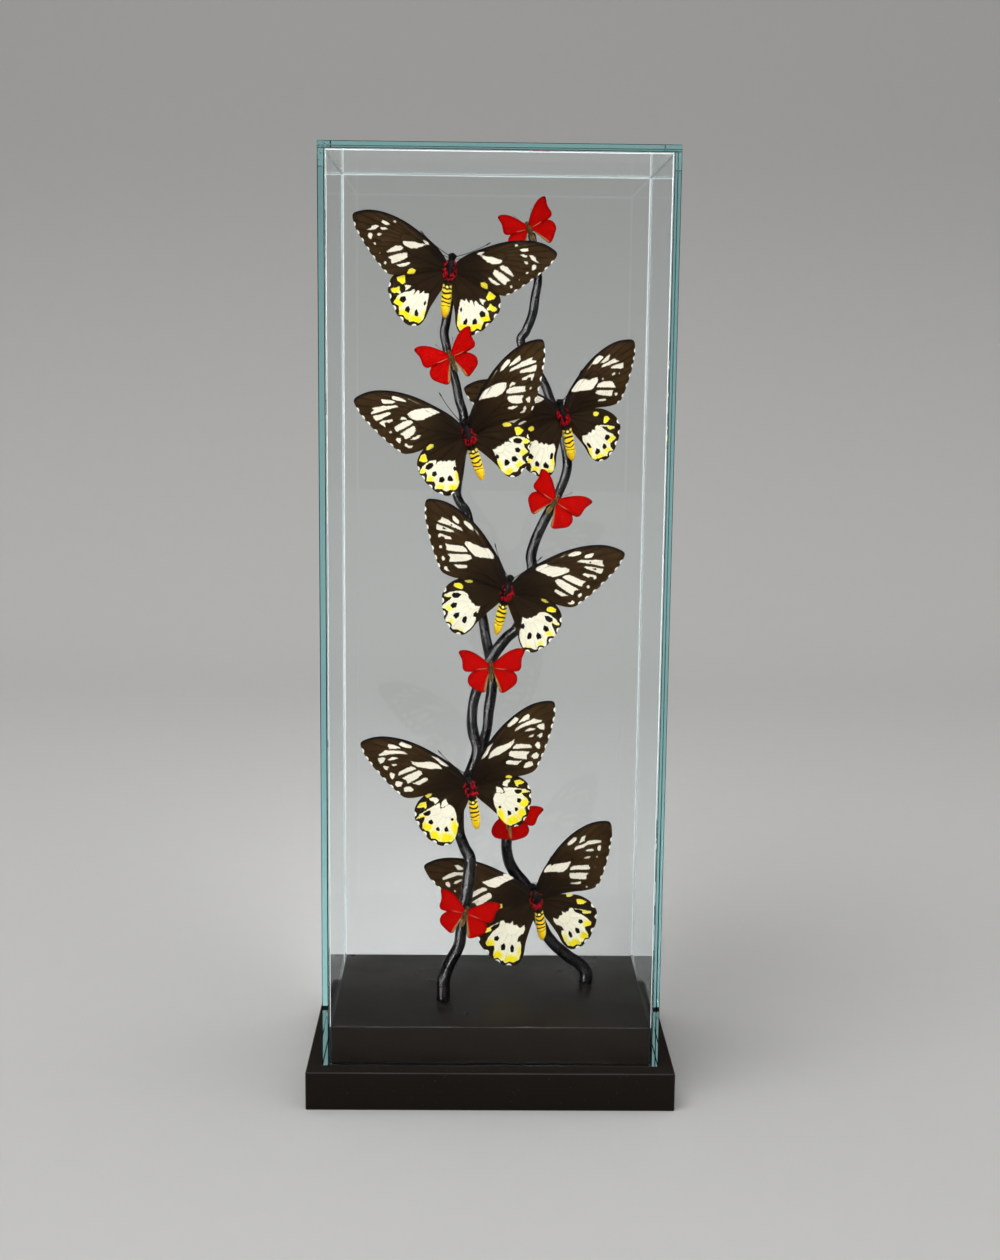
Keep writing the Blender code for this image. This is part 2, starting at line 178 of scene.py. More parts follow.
def mark_depth(points: np.ndarray, marks: str, length: float, rounding: int) -> np.ndarray:
    """How deep each point lies in any of a wing's marks, in millimetres, negative outside them.

    Args:
        points: places on the wing, in shares of its length.
        marks: outlines with ; between them, or "along,ahead,radius" for a round spot.
        length: the wing's length in millimetres.
        rounding: how many pieces each side of an outline is curved in; 1 leaves it straight.

    Returns:
        One depth for each point.
    """
    depth = np.full(len(points), -FAR)
    for text in filter(None, marks.split(";")):
        outline = read_points(text)
        if outline.shape[1] == 3:
            middle, radius = outline[0, :2], outline[0, 2]
            found = radius - np.linalg.norm(points - middle, axis=1)
        else:
            found = inside_by(points, spline(outline, rounding, closed=True))
        depth = np.maximum(depth, found * length)
    return depth


def turn_from_front(turn: np.ndarray) -> np.ndarray:
    """Turns between 0 and 2 pi as turns between -pi and pi."""
    return (turn + pi) % (2 * pi) - pi


# ---- Modelling ----

def select_only(*objects: bpy.types.Object) -> None:
    """Selects objects and nothing else.

    Args:
        objects: what to select; the first becomes active.
    """
    bpy.ops.object.select_all(action="DESELECT")
    for obj in objects:
        obj.select_set(True)
    bpy.context.view_layer.objects.active = objects[0]


def edit_all(piece: bpy.types.Object, *steps: Callable[[], object]) -> None:
    """Edits all of a piece's mesh.

    Args:
        piece: the object to edit.
        steps: what to do in edit mode, each time with everything selected.
    """
    select_only(piece)
    bpy.ops.object.mode_set(mode="EDIT")
    for step in steps:
        bpy.ops.mesh.select_all(action="SELECT")
        step()
    bpy.ops.object.mode_set(mode="OBJECT")


def merge_points() -> None:
    """Merges the selected points that fell together."""
    bpy.ops.mesh.remove_doubles(threshold=MERGE)


def turn_outwards() -> None:
    """Turns the selected faces outwards."""
    bpy.ops.mesh.normals_make_consistent(inside=False)


def lay_grid(name: str, columns: int, rows: int,
             lay: Callable[[np.ndarray, np.ndarray], np.ndarray]) -> bpy.types.Object:
    """Adds a flat grid and lays it over a shape.

    Args:
        name: the new object's name.
        columns: faces along u.
        rows: faces along v.
        lay: gives the places, in metres, of the points at u and v, which both run from 0 to 1.

    Returns:
        The new object, at the origin.
    """
    bpy.ops.object.select_all(action="DESELECT")
    bpy.ops.mesh.primitive_grid_add(x_subdivisions=columns, y_subdivisions=rows, size=1)
    piece = bpy.context.active_object
    piece.name = piece.data.name = name
    flat = np.empty(3 * len(piece.data.vertices))
    piece.data.vertices.foreach_get("co", flat)
    u, v = flat.reshape(-1, 3)[:, :2].T + 0.5
    piece.data.vertices.foreach_set("co", np.ascontiguousarray(lay(u, v)).ravel())
    piece.data.update()
    return piece


def keep_numbers(piece: bpy.types.Object, kept: dict[str, np.ndarray]) -> None:
    """Keeps numbers for each point of a mesh, for its material to read.

    Args:
        piece: the object whose mesh keeps them.
        kept: one number for each point, by the attribute's name.
    """
    for name, values in kept.items():
        layer = piece.data.attributes.new(name, "FLOAT", "POINT")
        layer.data.foreach_set("value", np.asarray(values, dtype=np.float32))


def lay_tube(name: str, route: np.ndarray, radii: np.ndarray, sides: int,
             ridges: Callable[[np.ndarray, np.ndarray], np.ndarray] | None = None,
             upright_foot: bool = False) -> bpy.types.Object:
    """A tube along a route, closed at both ends.

    Args:
        name: the new object's name.
        route: its middle line, in metres.
        radii: its radius at each point of the route, in metres.
        sides: faces round it.
        ridges: gives the share by which the radius grows, from the turn and the way travelled.
        upright_foot: whether the first ring lies flat.

    Returns:
        The new object.
    """
    ahead = np.empty_like(route)
    ahead[1:-1] = route[2:] - route[:-2]
    ahead[0], ahead[-1] = route[1] - route[0], route[-1] - route[-2]
    if upright_foot:
        ahead[0] = (0, 0, 1)
    ahead /= np.linalg.norm(ahead, axis=1)[:, None]
    across = np.empty_like(route)
    across[0] = np.cross(ahead[0], (0.0, 1.0, 0.0) if abs(ahead[0][1]) < 0.9 else (1.0, 0.0, 0.0))
    across[0] /= np.linalg.norm(across[0])
    for i in range(1, len(route)):
        carried = across[i - 1] - ahead[i] * across[i - 1].dot(ahead[i])
        across[i] = carried / np.linalg.norm(carried)
    beside = np.cross(ahead, across)
    travelled = np.concatenate([[0], np.linalg.norm(np.diff(route, axis=0), axis=1).cumsum()])
    order = np.concatenate([[0], np.arange(len(route)), [len(route) - 1]])
    size = np.concatenate([[0], radii, [0]])

    def lay(u: np.ndarray, v: np.ndarray) -> np.ndarray:
        """Lays the tube's points.

        Args:
            u: the share of the way round.
            v: the share of the rings passed.

        Returns:
            Their places, in metres.
        """
        ring = np.rint(v * (len(order) - 1)).astype(int)
        at = order[ring]
        turn = 2 * pi * u
        reach = size[ring]
        if ridges:
            reach = reach * (1 + ridges(turn, travelled[at]))
        return (route[at] + reach[:, None] * (np.cos(turn)[:, None] * across[at]
                                              + np.sin(turn)[:, None] * beside[at]))

    piece = lay_grid(name, sides, len(order) - 1, lay)
    edit_all(piece, merge_points, turn_outwards)
    return piece


def strands(name: str, roots: np.ndarray, reaches: np.ndarray, radius: float,
            sag: np.ndarray) -> bpy.types.Object:
    """Many hairs in one mesh, each a three-sided spike that is bent once.

    Args:
        name: the new object's name.
        roots: where the hairs grow, in metres.
        reaches: from each root to its tip, before the bend.
        radius: of a hair at its root, in metres.
        sag: how far each tip moves by the bend.

    Returns:
        The new object.
    """
    count = len(roots)
    ahead = reaches / np.linalg.norm(reaches, axis=1)[:, None]
    helper = np.where(np.abs(ahead[:, 2:3]) < 0.8, (0.0, 0.0, 1.0), (1.0, 0.0, 0.0))
    across = np.cross(ahead, helper)
    across /= np.linalg.norm(across, axis=1)[:, None]
    beside = np.cross(ahead, across)
    rings = []
    for share, width in ((0.0, 1.0), (0.55, 0.75)):  # at its root and at its bend
        middle = roots + reaches * share + sag * share ** 2
        for turn in (0.0, 2 * pi / 3, 4 * pi / 3):
            rings.append(middle + radius * width * (cos(turn) * across + sin(turn) * beside))
    rings.append(roots + reaches + sag)
    places = np.stack(rings, axis=1).reshape(-1, 3)
    spike = [(2, 1, 0), (0, 1, 4, 3), (1, 2, 5, 4), (2, 0, 3, 5), (3, 4, 6), (4, 5, 6), (5, 3, 6)]
    faces = [tuple(7 * i + corner for corner in face) for i in range(count) for face in spike]
    mesh = bpy.data.meshes.new(name)
    mesh.from_pydata(places.tolist(), [], faces)
    piece = bpy.data.objects.new(name, mesh)
    bpy.context.scene.collection.objects.link(piece)
    return piece


def join_pieces(name: str, pieces: Sequence[bpy.types.Object]) -> bpy.types.Object:
    """Joins several objects in one.

    Args:
        name: the joined object's name.
        pieces: what to join.

    Returns:
        The joined object.
    """
    select_only(*pieces)
    bpy.ops.object.join()
    joined = bpy.context.active_object
    joined.name = joined.data.name = name
    return joined


def apply_modifier(piece: bpy.types.Object, kind: str, **settings: object) -> None:
    """Adds a modifier and applies it.

    Args:
        piece: the object that gets it.
        kind: the modifier's type.
        settings: its properties.
    """
    select_only(piece)
    modifier = piece.modifiers.new(kind.lower(), kind)
    for key, value in settings.items():
        setattr(modifier, key, value)
    bpy.ops.object.modifier_apply(modifier=modifier.name)


def hand_over(piece: bpy.types.Object, finish: bpy.types.Material, slot: str, *nodes: str,
              smooth: bool = True) -> None:
    """Dresses a finished piece, and says what it stands for.

    Args:
        piece: the finished object.
        finish: its material.
        slot: the record's material slot; not used.
        nodes: the CAD nodes that it stands for.
        smooth: whether it is shaded smooth.
    """
    piece.data.materials.clear()
    piece.data.materials.append(finish)
    if smooth:
        piece.data.shade_smooth()
    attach(piece, "root")
    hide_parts(*nodes)
    LOG.info("%s: %d faces, stands for %s", piece.name, len(piece.data.polygons), ", ".join(nodes))


# ---- Finishes ----

class NodePaint:
    """The nodes of one procedural material."""

    def __init__(self, name: str) -> None:
        """Starts a material with a Principled shader.

        Args:
            name: the material's name.
        """
        self.material = bpy.data.materials.new(name)
        self.material.use_nodes = True
        self.tree = self.material.node_tree
        self.shader = self.tree.nodes["Principled BSDF"]
        self.output = self.tree.nodes["Material Output"]

    def set(self, **values: object) -> None:
        """Sets or links the shader's sockets.

        Args:
            values: numbers, colours or sockets, by the socket's name with _ for a space.
        """
        for name, value in values.items():
            socket = self.shader.inputs[name.replace("_", " ")]
            if isinstance(value, bpy.types.NodeSocket):
                self.tree.links.new(value, socket)
            else:
                socket.default_value = (*value, 1) if isinstance(value, tuple) else value

    def node(self, kind: str, inputs: dict | None = None, **settings: object) -> bpy.types.Node:
        """Adds a node.

        Args:
            kind: the node's type.
            inputs: values or sockets for its inputs, by name or number.
            settings: its properties.

        Returns:
            The new node.
        """
        node = self.tree.nodes.new(kind)
        for key, value in settings.items():
            setattr(node, key, value)
        for key, value in (inputs or {}).items():
            if isinstance(value, bpy.types.NodeSocket):
                self.tree.links.new(value, node.inputs[key])
            else:
                node.inputs[key].default_value = value
        return node

    def attribute(self, name: str) -> bpy.types.NodeSocket:
        """A number that the mesh keeps for each point."""
        return self.node("ShaderNodeAttribute", attribute_name=name).outputs["Fac"]

    def place(self, scale: Sequence[float] = (1, 1, 1), uv: bool = False) -> bpy.types.NodeSocket:
        """Coordinates for a pattern.

        Args:
            scale: how often it repeats in each direction.
            uv: whether it follows the piece's UV map, and not Object coordinates.

        Returns:
            The vector socket.
        """
        source = self.node("ShaderNodeTexCoord").outputs["UV" if uv else "Object"]
        mapping = self.node("ShaderNodeMapping", {"Vector": source, "Scale": scale})
        return mapping.outputs[0]

    def noise(self, vector: bpy.types.NodeSocket, scale: float, detail: float = 2,
              roughness: float = 0.5) -> bpy.types.NodeSocket:
        """A noise between 0 and 1."""
        return self.node("ShaderNodeTexNoise", {"Vector": vector, "Scale": scale, "Detail": detail,
                                                "Roughness": roughness}).outputs[0]

    def math(self, operation: str, first: object, second: object = 0.0) -> bpy.types.NodeSocket:
        """One step of arithmetic."""
        return self.node("ShaderNodeMath", {0: first, 1: second}, operation=operation).outputs[0]

    def times(self, first: object, second: object) -> bpy.types.NodeSocket:
        """The product of two numbers."""
        return self.math("MULTIPLY", first, second)

    def waver(self, noise: bpy.types.NodeSocket, size: float) -> bpy.types.NodeSocket:
        """A noise's distance from its middle, times size."""
        return self.times(self.math("SUBTRACT", noise, 0.5), size)

    def between(self, value: object, low: float, high: float, start: float = 0.0,
                end: float = 1.0) -> bpy.types.NodeSocket:
        """Goes smoothly from start to end as value goes from low to high."""
        inputs = {"Value": value, "From Min": low, "From Max": high, "To Min": start, "To Max": end}
        return self.node("ShaderNodeMapRange", inputs, interpolation_type="SMOOTHSTEP").outputs[0]

    def mix(self, share: object, first: object, second: object) -> bpy.types.NodeSocket:
        """Goes from one colour to another.

        Args:
            share: how much of the second colour shows.
            first: a colour or a socket.
            second: a colour or a socket.

        Returns:
            The colour socket.
        """
        inputs = {0: share}
        for index, colour in ((6, first), (7, second)):
            inputs[index] = (*colour, 1) if isinstance(colour, tuple) else colour
        return self.node("ShaderNodeMix", inputs, data_type="RGBA").outputs[2]

    def bump(self, height: object, distance: float, strength: float = 1.0) -> None:
        """Raises the surface, on top of any earlier bump.

        Args:
            height: the pattern.
            distance: what a height of 1 raises, in metres.
            strength: how much of that shows.
        """
        inputs = {"Height": height, "Distance": distance, "Strength": strength}
        if self.shader.inputs["Normal"].links:
            inputs["Normal"] = self.shader.inputs["Normal"].links[0].from_socket
        bump = self.node("ShaderNodeBump", inputs)
        self.tree.links.new(bump.outputs[0], self.shader.inputs["Normal"])


@dataclass(frozen=True)
class BirdwingWingFinish:
    """Scaly wings: dark brown with cream windows, yellow and black on the hindwings."""

    brown: Colour = (0.034, 0.018, 0.006)
    root: Colour = (0.010, 0.006, 0.003)
    hind: Colour = (0.018, 0.010, 0.004)
    costa: Colour = (0.006, 0.005, 0.005)
    cream: Colour = (0.72, 0.66, 0.54)
    ivory: Colour = (0.76, 0.71, 0.56)
    straw: Colour = (0.78, 0.72, 0.30)
    yellow: Colour = (0.80, 0.65, 0.012)
    black: Colour = (0.007, 0.004, 0.003)
    fringe: Colour = (0.86, 0.84, 0.74)
    streaks: Triple = (3, 38, 1)  # how often they repeat along and across a wing
    grain: float = 2600
    frayed: Span = (3.2, 0.6)  # how far streaks and grain move the marks' edges, in millimetres
    dark_root: Span = (0.12, 0.62)  # where its dark fades, in wing lengths
    dark_vein: Span = (0.15, 0.9)  # the same beside a vein, in millimetres
    dark_costa: Span = (1.0, 3.2)
    roughness: float = 0.62
    gloss: float = 0.02
    vein_height: float = 0.16 * MM
    scale_height: float = 0.05 * MM

    def material(self, name: str) -> bpy.types.Material:
        """Builds the material, which reads the marks that the wings' meshes keep.

        Args:
            name: the material's name.

        Returns:
            The material.
        """
        paint = NodePaint(name)
        where = paint.place()
        streaks = paint.noise(paint.place(self.streaks, uv=True), 1.0, 4, 0.65)
        grain = paint.noise(where, self.grain, 2, 0.6)
        blotch = paint.noise(where, 90, 3)
        shake = paint.math("ADD", paint.waver(streaks, self.frayed[0]),
                           paint.waver(grain, self.frayed[1]))
        reach = paint.attribute("reach")
        ground = paint.mix(paint.between(reach, *self.dark_root), self.root, self.brown)
        ground = paint.mix(paint.times(paint.attribute("hind"), 0.85), ground, self.hind)
        ground = paint.mix(paint.between(blotch, 0.35, 0.75, 0.0, 0.35), ground, self.root)
        vein = paint.attribute("vein")
        ground = paint.mix(paint.between(vein, *self.dark_vein, 0.6, 0.0), ground, self.black)
        ground = paint.mix(paint.between(paint.attribute("costa"), *self.dark_costa, 1.0, 0.0),
                           ground, self.costa)

        def mask(mark: str, feather: float, wobble: float, grown: float = 0.0) -> bpy.types.NodeSocket:
            """Where a mark shows, with a frayed edge that is feathered, in millimetres."""
            depth = paint.math("ADD", paint.attribute(mark), paint.times(shake, wobble))
            return paint.between(depth, -feather - grown, feather - grown)

        pale = paint.mix(paint.attribute("hind"), self.cream, self.ivory)
        pale = paint.mix(paint.between(streaks, 0.5, 0.75, 0.0, 0.22), pale, self.brown)
        colour = paint.mix(mask("cream", 0.28, 0.9), ground, pale)
        for tone, grown in ((self.straw, 1.3), (self.yellow, -0.5)):
            share = paint.times(mask("yellow", 1.3, 1.2, grown), mask("cream", 0.4, 0.9))
            colour = paint.mix(share, colour, tone)
        thin = paint.times(paint.between(vein, 0.08, 0.42, 0.55, 0.0), mask("cream", 0.4, 0.0))
        thin = paint.times(thin, paint.between(paint.attribute("hind"), 0, 1, 1.0, 0.5))
        colour = paint.mix(thin, colour, self.brown)
        colour = paint.mix(mask("dark", 0.3, 0.35, 0.2), colour, self.black)
        colour = paint.mix(mask("fringe", 0.25, 0.3), colour, self.fringe)
        paint.set(Base_Color=colour, Roughness=self.roughness, Specular_IOR_Level=self.gloss)
        paint.bump(paint.between(vein, 0.05, 0.5, 1.0, 0.0), self.vein_height, 0.8)
        paint.bump(paint.math("ADD", grain, streaks), self.scale_height, 0.5)
        return paint.material


@dataclass(frozen=True)
class RedWingFinish:
    """Matt scarlet wings, darker at their edges and lighter along the veins."""

    scarlet: Colour = (0.36, 0.001, 0.0005)
    deep: Colour = (0.17, 0.0005, 0.0003)
    light: Colour = (0.46, 0.002, 0.001)
    seam: Colour = (0.70, 0.22, 0.11)
    gold: Colour = (0.27, 0.16, 0.055)
    tip: Colour = (0.02, 0.006, 0.004)
    streaks: Triple = (8, 70, 1)  # how often they repeat along and across a wing
    grain: float = 3000
    dark_edge: Span = (0.2, 2.6)  # where its dark fades, in millimetres
    light_vein: Span = (0.1, 0.55)
    roughness: float = 0.72
    gloss: float = 0.02
    vein_height: float = 0.1 * MM
    scale_height: float = 0.04 * MM

    def material(self, name: str) -> bpy.types.Material:
        """Builds the material.

        Args:
            name: the material's name.

        Returns:
            The material.
        """
        paint = NodePaint(name)
        where = paint.place()
        streaks = paint.noise(paint.place(self.streaks, uv=True), 1.0, 3, 0.6)
        grain = paint.noise(where, self.grain, 2, 0.6)
        edge = paint.between(paint.attribute("margin"), *self.dark_edge, 0.75, 0.0)
        colour = paint.mix(paint.between(streaks, 0.35, 0.75, 0.0, 0.5), self.scarlet, self.deep)
        colour = paint.mix(paint.between(grain, 0.35, 0.8, 0.0, 0.3), colour, self.light)
        colour = paint.mix(paint.between(paint.attribute("vein"), *self.light_vein, 0.5, 0.0),
                           colour, self.light)
        colour = paint.mix(edge, colour, self.deep)
        pale = paint.mix(paint.attribute("hind"), self.seam, self.gold)
        colour = paint.mix(paint.between(paint.attribute("pale"), -0.5, 0.6), colour, pale)
        colour = paint.mix(paint.between(paint.attribute("dark"), -0.3, 0.3), colour, self.tip)
        paint.set(Base_Color=colour, Roughness=self.roughness, Specular_IOR_Level=self.gloss)
        paint.bump(paint.between(paint.attribute("vein"), 0.05, 0.4, 1.0, 0.0),
                   self.vein_height, 0.8)
        paint.bump(paint.math("ADD", grain, streaks), self.scale_height, 0.5)
        return paint.material


@dataclass(frozen=True)
class BodyFinish:
    """Dry insect body, dark at the thorax and coloured, banded and paler-sided at the abdomen."""

    thorax: Colour
    abdomen: Colour
    side: Colour
    band: Colour
    tip: Colour
    spot: Colour = (0.86, 0.76, 0.24)
    grain: float = 1400
    patches: float = 420
    roughness: float = 0.5
    gloss: float = 0.05
    grain_height: float = 0.12 * MM

    def material(self, name: str) -> bpy.types.Material:
        """Builds the material, which reads the bands that the body's mesh keeps.

        Args:
            name: the material's name.

        Returns:
            The material.
        """
        paint = NodePaint(name)
        grain = paint.noise(paint.place(), self.grain, 4, 0.65)
        soft = paint.noise(paint.place(), self.patches, 2)
        belly = paint.mix(paint.between(paint.attribute("side"), 0.3, 0.85), self.abdomen, self.side)
        belly = paint.mix(paint.between(soft, 0.4, 0.8, 0.0, 0.25), belly, self.tip)
        belly = paint.mix(paint.attribute("tip"), belly, self.tip)
        frayed = paint.math("ADD", paint.attribute("band"), paint.waver(grain, 0.5))
        belly = paint.mix(paint.between(frayed, 0.3, 0.6), belly, self.band)
        colour = paint.mix(paint.attribute("abdomen"), self.thorax, belly)
        colour = paint.mix(paint.attribute("spot"), colour, self.spot)
        paint.set(Base_Color=colour, Roughness=self.roughness, Specular_IOR_Level=self.gloss)
        paint.bump(grain, self.grain_height, 0.7)
        return paint.material


@dataclass(frozen=True)
class ChitinFinish:
    """Hairs, feelers, legs and eyes: one tone that wavers a little."""

    tone: Colour
    shade: Colour
    roughness: float = 0.5
    gloss: float = 0.03
    grain: float = 900.0

    def material(self, name: str) -> bpy.types.Material:
        """Builds the material.

        Args:
            name: the material's name.

        Returns:
            The material.
        """
        paint = NodePaint(name)
        wavering = paint.noise(paint.place(), self.grain, 2)
        paint.set(Base_Color=paint.mix(paint.between(wavering, 0.3, 0.7), self.tone, self.shade),
                  Roughness=self.roughness, Specular_IOR_Level=self.gloss)
        return paint.material


@dataclass(frozen=True)
class VineFinish:
    """Black lacquered vine stem, with brown showing through in streaks."""

    lacquer: Colour = (0.003, 0.0025, 0.003)
    brown: Colour = (0.012, 0.007, 0.005)
    fibres: Triple = (26, 60, 1)  # how often they repeat round and along a stem
    lumps: float = 110
    roughness: Span = (0.22, 0.34)
    gloss: float = 0.04
    coat: float = 0.36
    coat_roughness: float = 0.12
    lump_height: float = 0.25 * MM
    fibre_height: float = 0.05 * MM

    def material(self, name: str) -> bpy.types.Material:
        """Builds the material; its grain runs along the stem.

        Args:
            name: the material's name.

        Returns:
            The material.
        """
        paint = NodePaint(name)
        fibres = paint.noise(paint.place(self.fibres, uv=True), 1.0, 2, 0.5)
        lumps = paint.noise(paint.place(), self.lumps, 3)
        colour = paint.mix(paint.between(fibres, 0.45, 0.8, 0.0, 0.8), self.lacquer, self.brown)
        paint.set(Base_Color=colour, Roughness=paint.between(lumps, 0.3, 0.7, *self.roughness),
                  Specular_IOR_Level=self.gloss, Coat_Weight=self.coat,
                  Coat_Roughness=self.coat_roughness)
        paint.bump(lumps, self.lump_height, 0.3)
        paint.bump(fibres, self.fibre_height, 0.3)
        return paint.material


@dataclass(frozen=True)
class PaintedWoodFinish:
    """Satin black paint over close-grained wood, lighter grey in patches along the edges."""

    paint: Colour = (0.0105, 0.0080, 0.0064)
    # the lighter grey that the colour turns to along the edges
    lighter_edge_grey: Colour = (0.035, 0.034, 0.035)
    dust: Colour = (0.22, 0.22, 0.23)
    grain: Triple = (6, 60, 160)  # how often it repeats along, across and up
    patches: float = 14
    specks: float = 620
    edge_fade: Span = (0.3 * MM, 1.5 * MM)  # how far from an edge it starts and stops fading
    roughness: Span = (0.27, 0.4)
    gloss: float = 0.1
    grain_height: float = 0.04 * MM

    def material(self, name: str, low: np.ndarray, high: np.ndarray) -> bpy.types.Material:
        """Builds the material of one block.

        Args:
            name: the material's name.
            low: the block's lowest corner.
            high: its highest corner.

        Returns:
            The material.
        """
        paint = NodePaint(name)
        where = self.edge_distance(paint, (low + high) / 2, (high - low) / 2)
        grain = paint.noise(paint.place(self.grain), 1.0, 4, 0.6)
        patches = paint.noise(paint.place(), self.patches, 3)
        specks = paint.between(paint.noise(paint.place(), self.specks, 1), 0.77, 0.80)
        # lighter grey along the edges, in patches, fading with the distance from the nearest edge
        lighter_edges = paint.times(paint.between(where, *self.edge_fade, 0.75, 0.0),
                           paint.between(patches, 0.3, 0.7, 0.4, 1.0))
        colour = paint.mix(lighter_edges, self.paint, self.lighter_edge_grey)
        colour = paint.mix(paint.times(specks, 0.35), colour, self.dust)
        paint.set(Base_Color=colour, Roughness=paint.between(patches, 0.3, 0.7, *self.roughness),
                  Specular_IOR_Level=self.gloss)
        paint.bump(grain, self.grain_height, 0.25)
        return paint.material

    @staticmethod
    def edge_distance(paint: NodePaint, centre: np.ndarray, half: np.ndarray) -> bpy.types.NodeSocket:
        """How far a point of a block's surface lies from the block's nearest edge.

        Args:
            paint: the block's material.
            centre: the block's middle.
            half: half its size.

        Returns:
            The distance in metres, as a socket.
        """
        source = paint.node("ShaderNodeTexCoord").outputs["Object"]
        axes = paint.node("ShaderNodeSeparateXYZ", {0: source}).outputs
        depths = [paint.math("SUBTRACT", float(reach), paint.math("ABSOLUTE", paint.math(
            "SUBTRACT", axis, float(middle)))) for axis, middle, reach in zip(axes, centre, half)]
        pairs = [paint.math("MAXIMUM", depths[i], depths[j]) for i, j in ((0, 1), (1, 2), (0, 2))]
        return paint.math("MINIMUM", pairs[0], paint.math("MINIMUM", pairs[1], pairs[2]))


@dataclass(frozen=True)
class GlassFinish:
    """Clear float glass that turns teal where light travels far inside a pane."""

    ior: float = 1.5
    mirror: float = 0.06  # how much a pane in front of the specimens reflects, so that they stay dark
    ghost: float = 0.6  # how much the others reflect
    tint: Colour = (0.25, 0.88, 0.90)
    density: float = 5.0  # absorption for each metre of glass

    def material(self, name: str, mirror: float) -> bpy.types.Material:
        """Builds the material.

        Args:
            name: the material's name.
            mirror: how much of its reflections shows.

        Returns:
            The material.
        """
        paint = NodePaint(name)
        paint.set(Base_Color=(1.0, 1.0, 1.0), Roughness=0.0, Transmission_Weight=1.0, IOR=self.ior,
                  Specular_Tint=(mirror, mirror, mirror))
        absorb = paint.node("ShaderNodeVolumeAbsorption", {"Color": (*self.tint, 1),
                                                           "Density": self.density})
        paint.tree.links.new(absorb.outputs[0], paint.output.inputs["Volume"])
        return paint.material


@dataclass(frozen=True)
class GlueFinish:
    """Clear glue that catches the light, with small cloudy stretches."""

    tone: Colour = (0.86, 0.95, 0.96)
    cloudy: Colour = (0.95, 0.98, 0.98)
    clouds: float = 60
    roughness: float = 0.35
    clearness: float = 0.2
    ior: float = 1.45

    def material(self, name: str) -> bpy.types.Material:
        """Builds the material.

        Args:
            name: the material's name.

        Returns:
            The material.
        """
        paint = NodePaint(name)
        clouds = paint.noise(paint.place(), self.clouds, 2)
        paint.set(Base_Color=paint.mix(clouds, self.tone, self.cloudy), Roughness=self.roughness,
                  Transmission_Weight=self.clearness, IOR=self.ior)
        return paint.material


# ---- Base and case ----

@dataclass
class SteppedBase:
    """The black board and the plinth on it, each a block with rounded edges."""

    rounding: float = 1.2 * MM
    segments: int = 4
    crease: float = 40.0  # degrees; sharper edges stay hard
    finish: PaintedWoodFinish = field(default_factory=PaintedWoodFinish)

    def build(self) -> None:
        """Builds both steps in the places of their CAD blocks."""
        for node, name in (("base_board", "board_painted"), ("plinth", "plinth_painted")):
            low, high = (np.array(corner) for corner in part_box(node))
            piece = self.block(name, low, high)
            hand_over(piece, self.finish.material(f"{name} black", low, high), "black_wood", node,
                      smooth=False)
            select_only(piece)
            bpy.ops.object.shade_smooth_by_angle(angle=radians(self.crease))

    def block(self, name: str, low: np.ndarray, high: np.ndarray) -> bpy.types.Object:
        """Adds one block, and rounds its edges in edit mode.

        Args:
            name: the new object's name.
            low: its lowest corner, in metres.
            high: its highest corner.

        Returns:
            The new object, at the origin.
        """
        bpy.ops.object.select_all(action="DESELECT")
        bpy.ops.mesh.primitive_cube_add(size=1, location=(low + high) / 2, scale=high - low)
        piece = bpy.context.active_object
        piece.name = piece.data.name = name
        bpy.ops.object.transform_apply(location=True, rotation=True, scale=True)
        edit_all(piece, partial(bpy.ops.mesh.bevel, offset=self.rounding, segments=self.segments,
                                profile=0.5))
        return piece


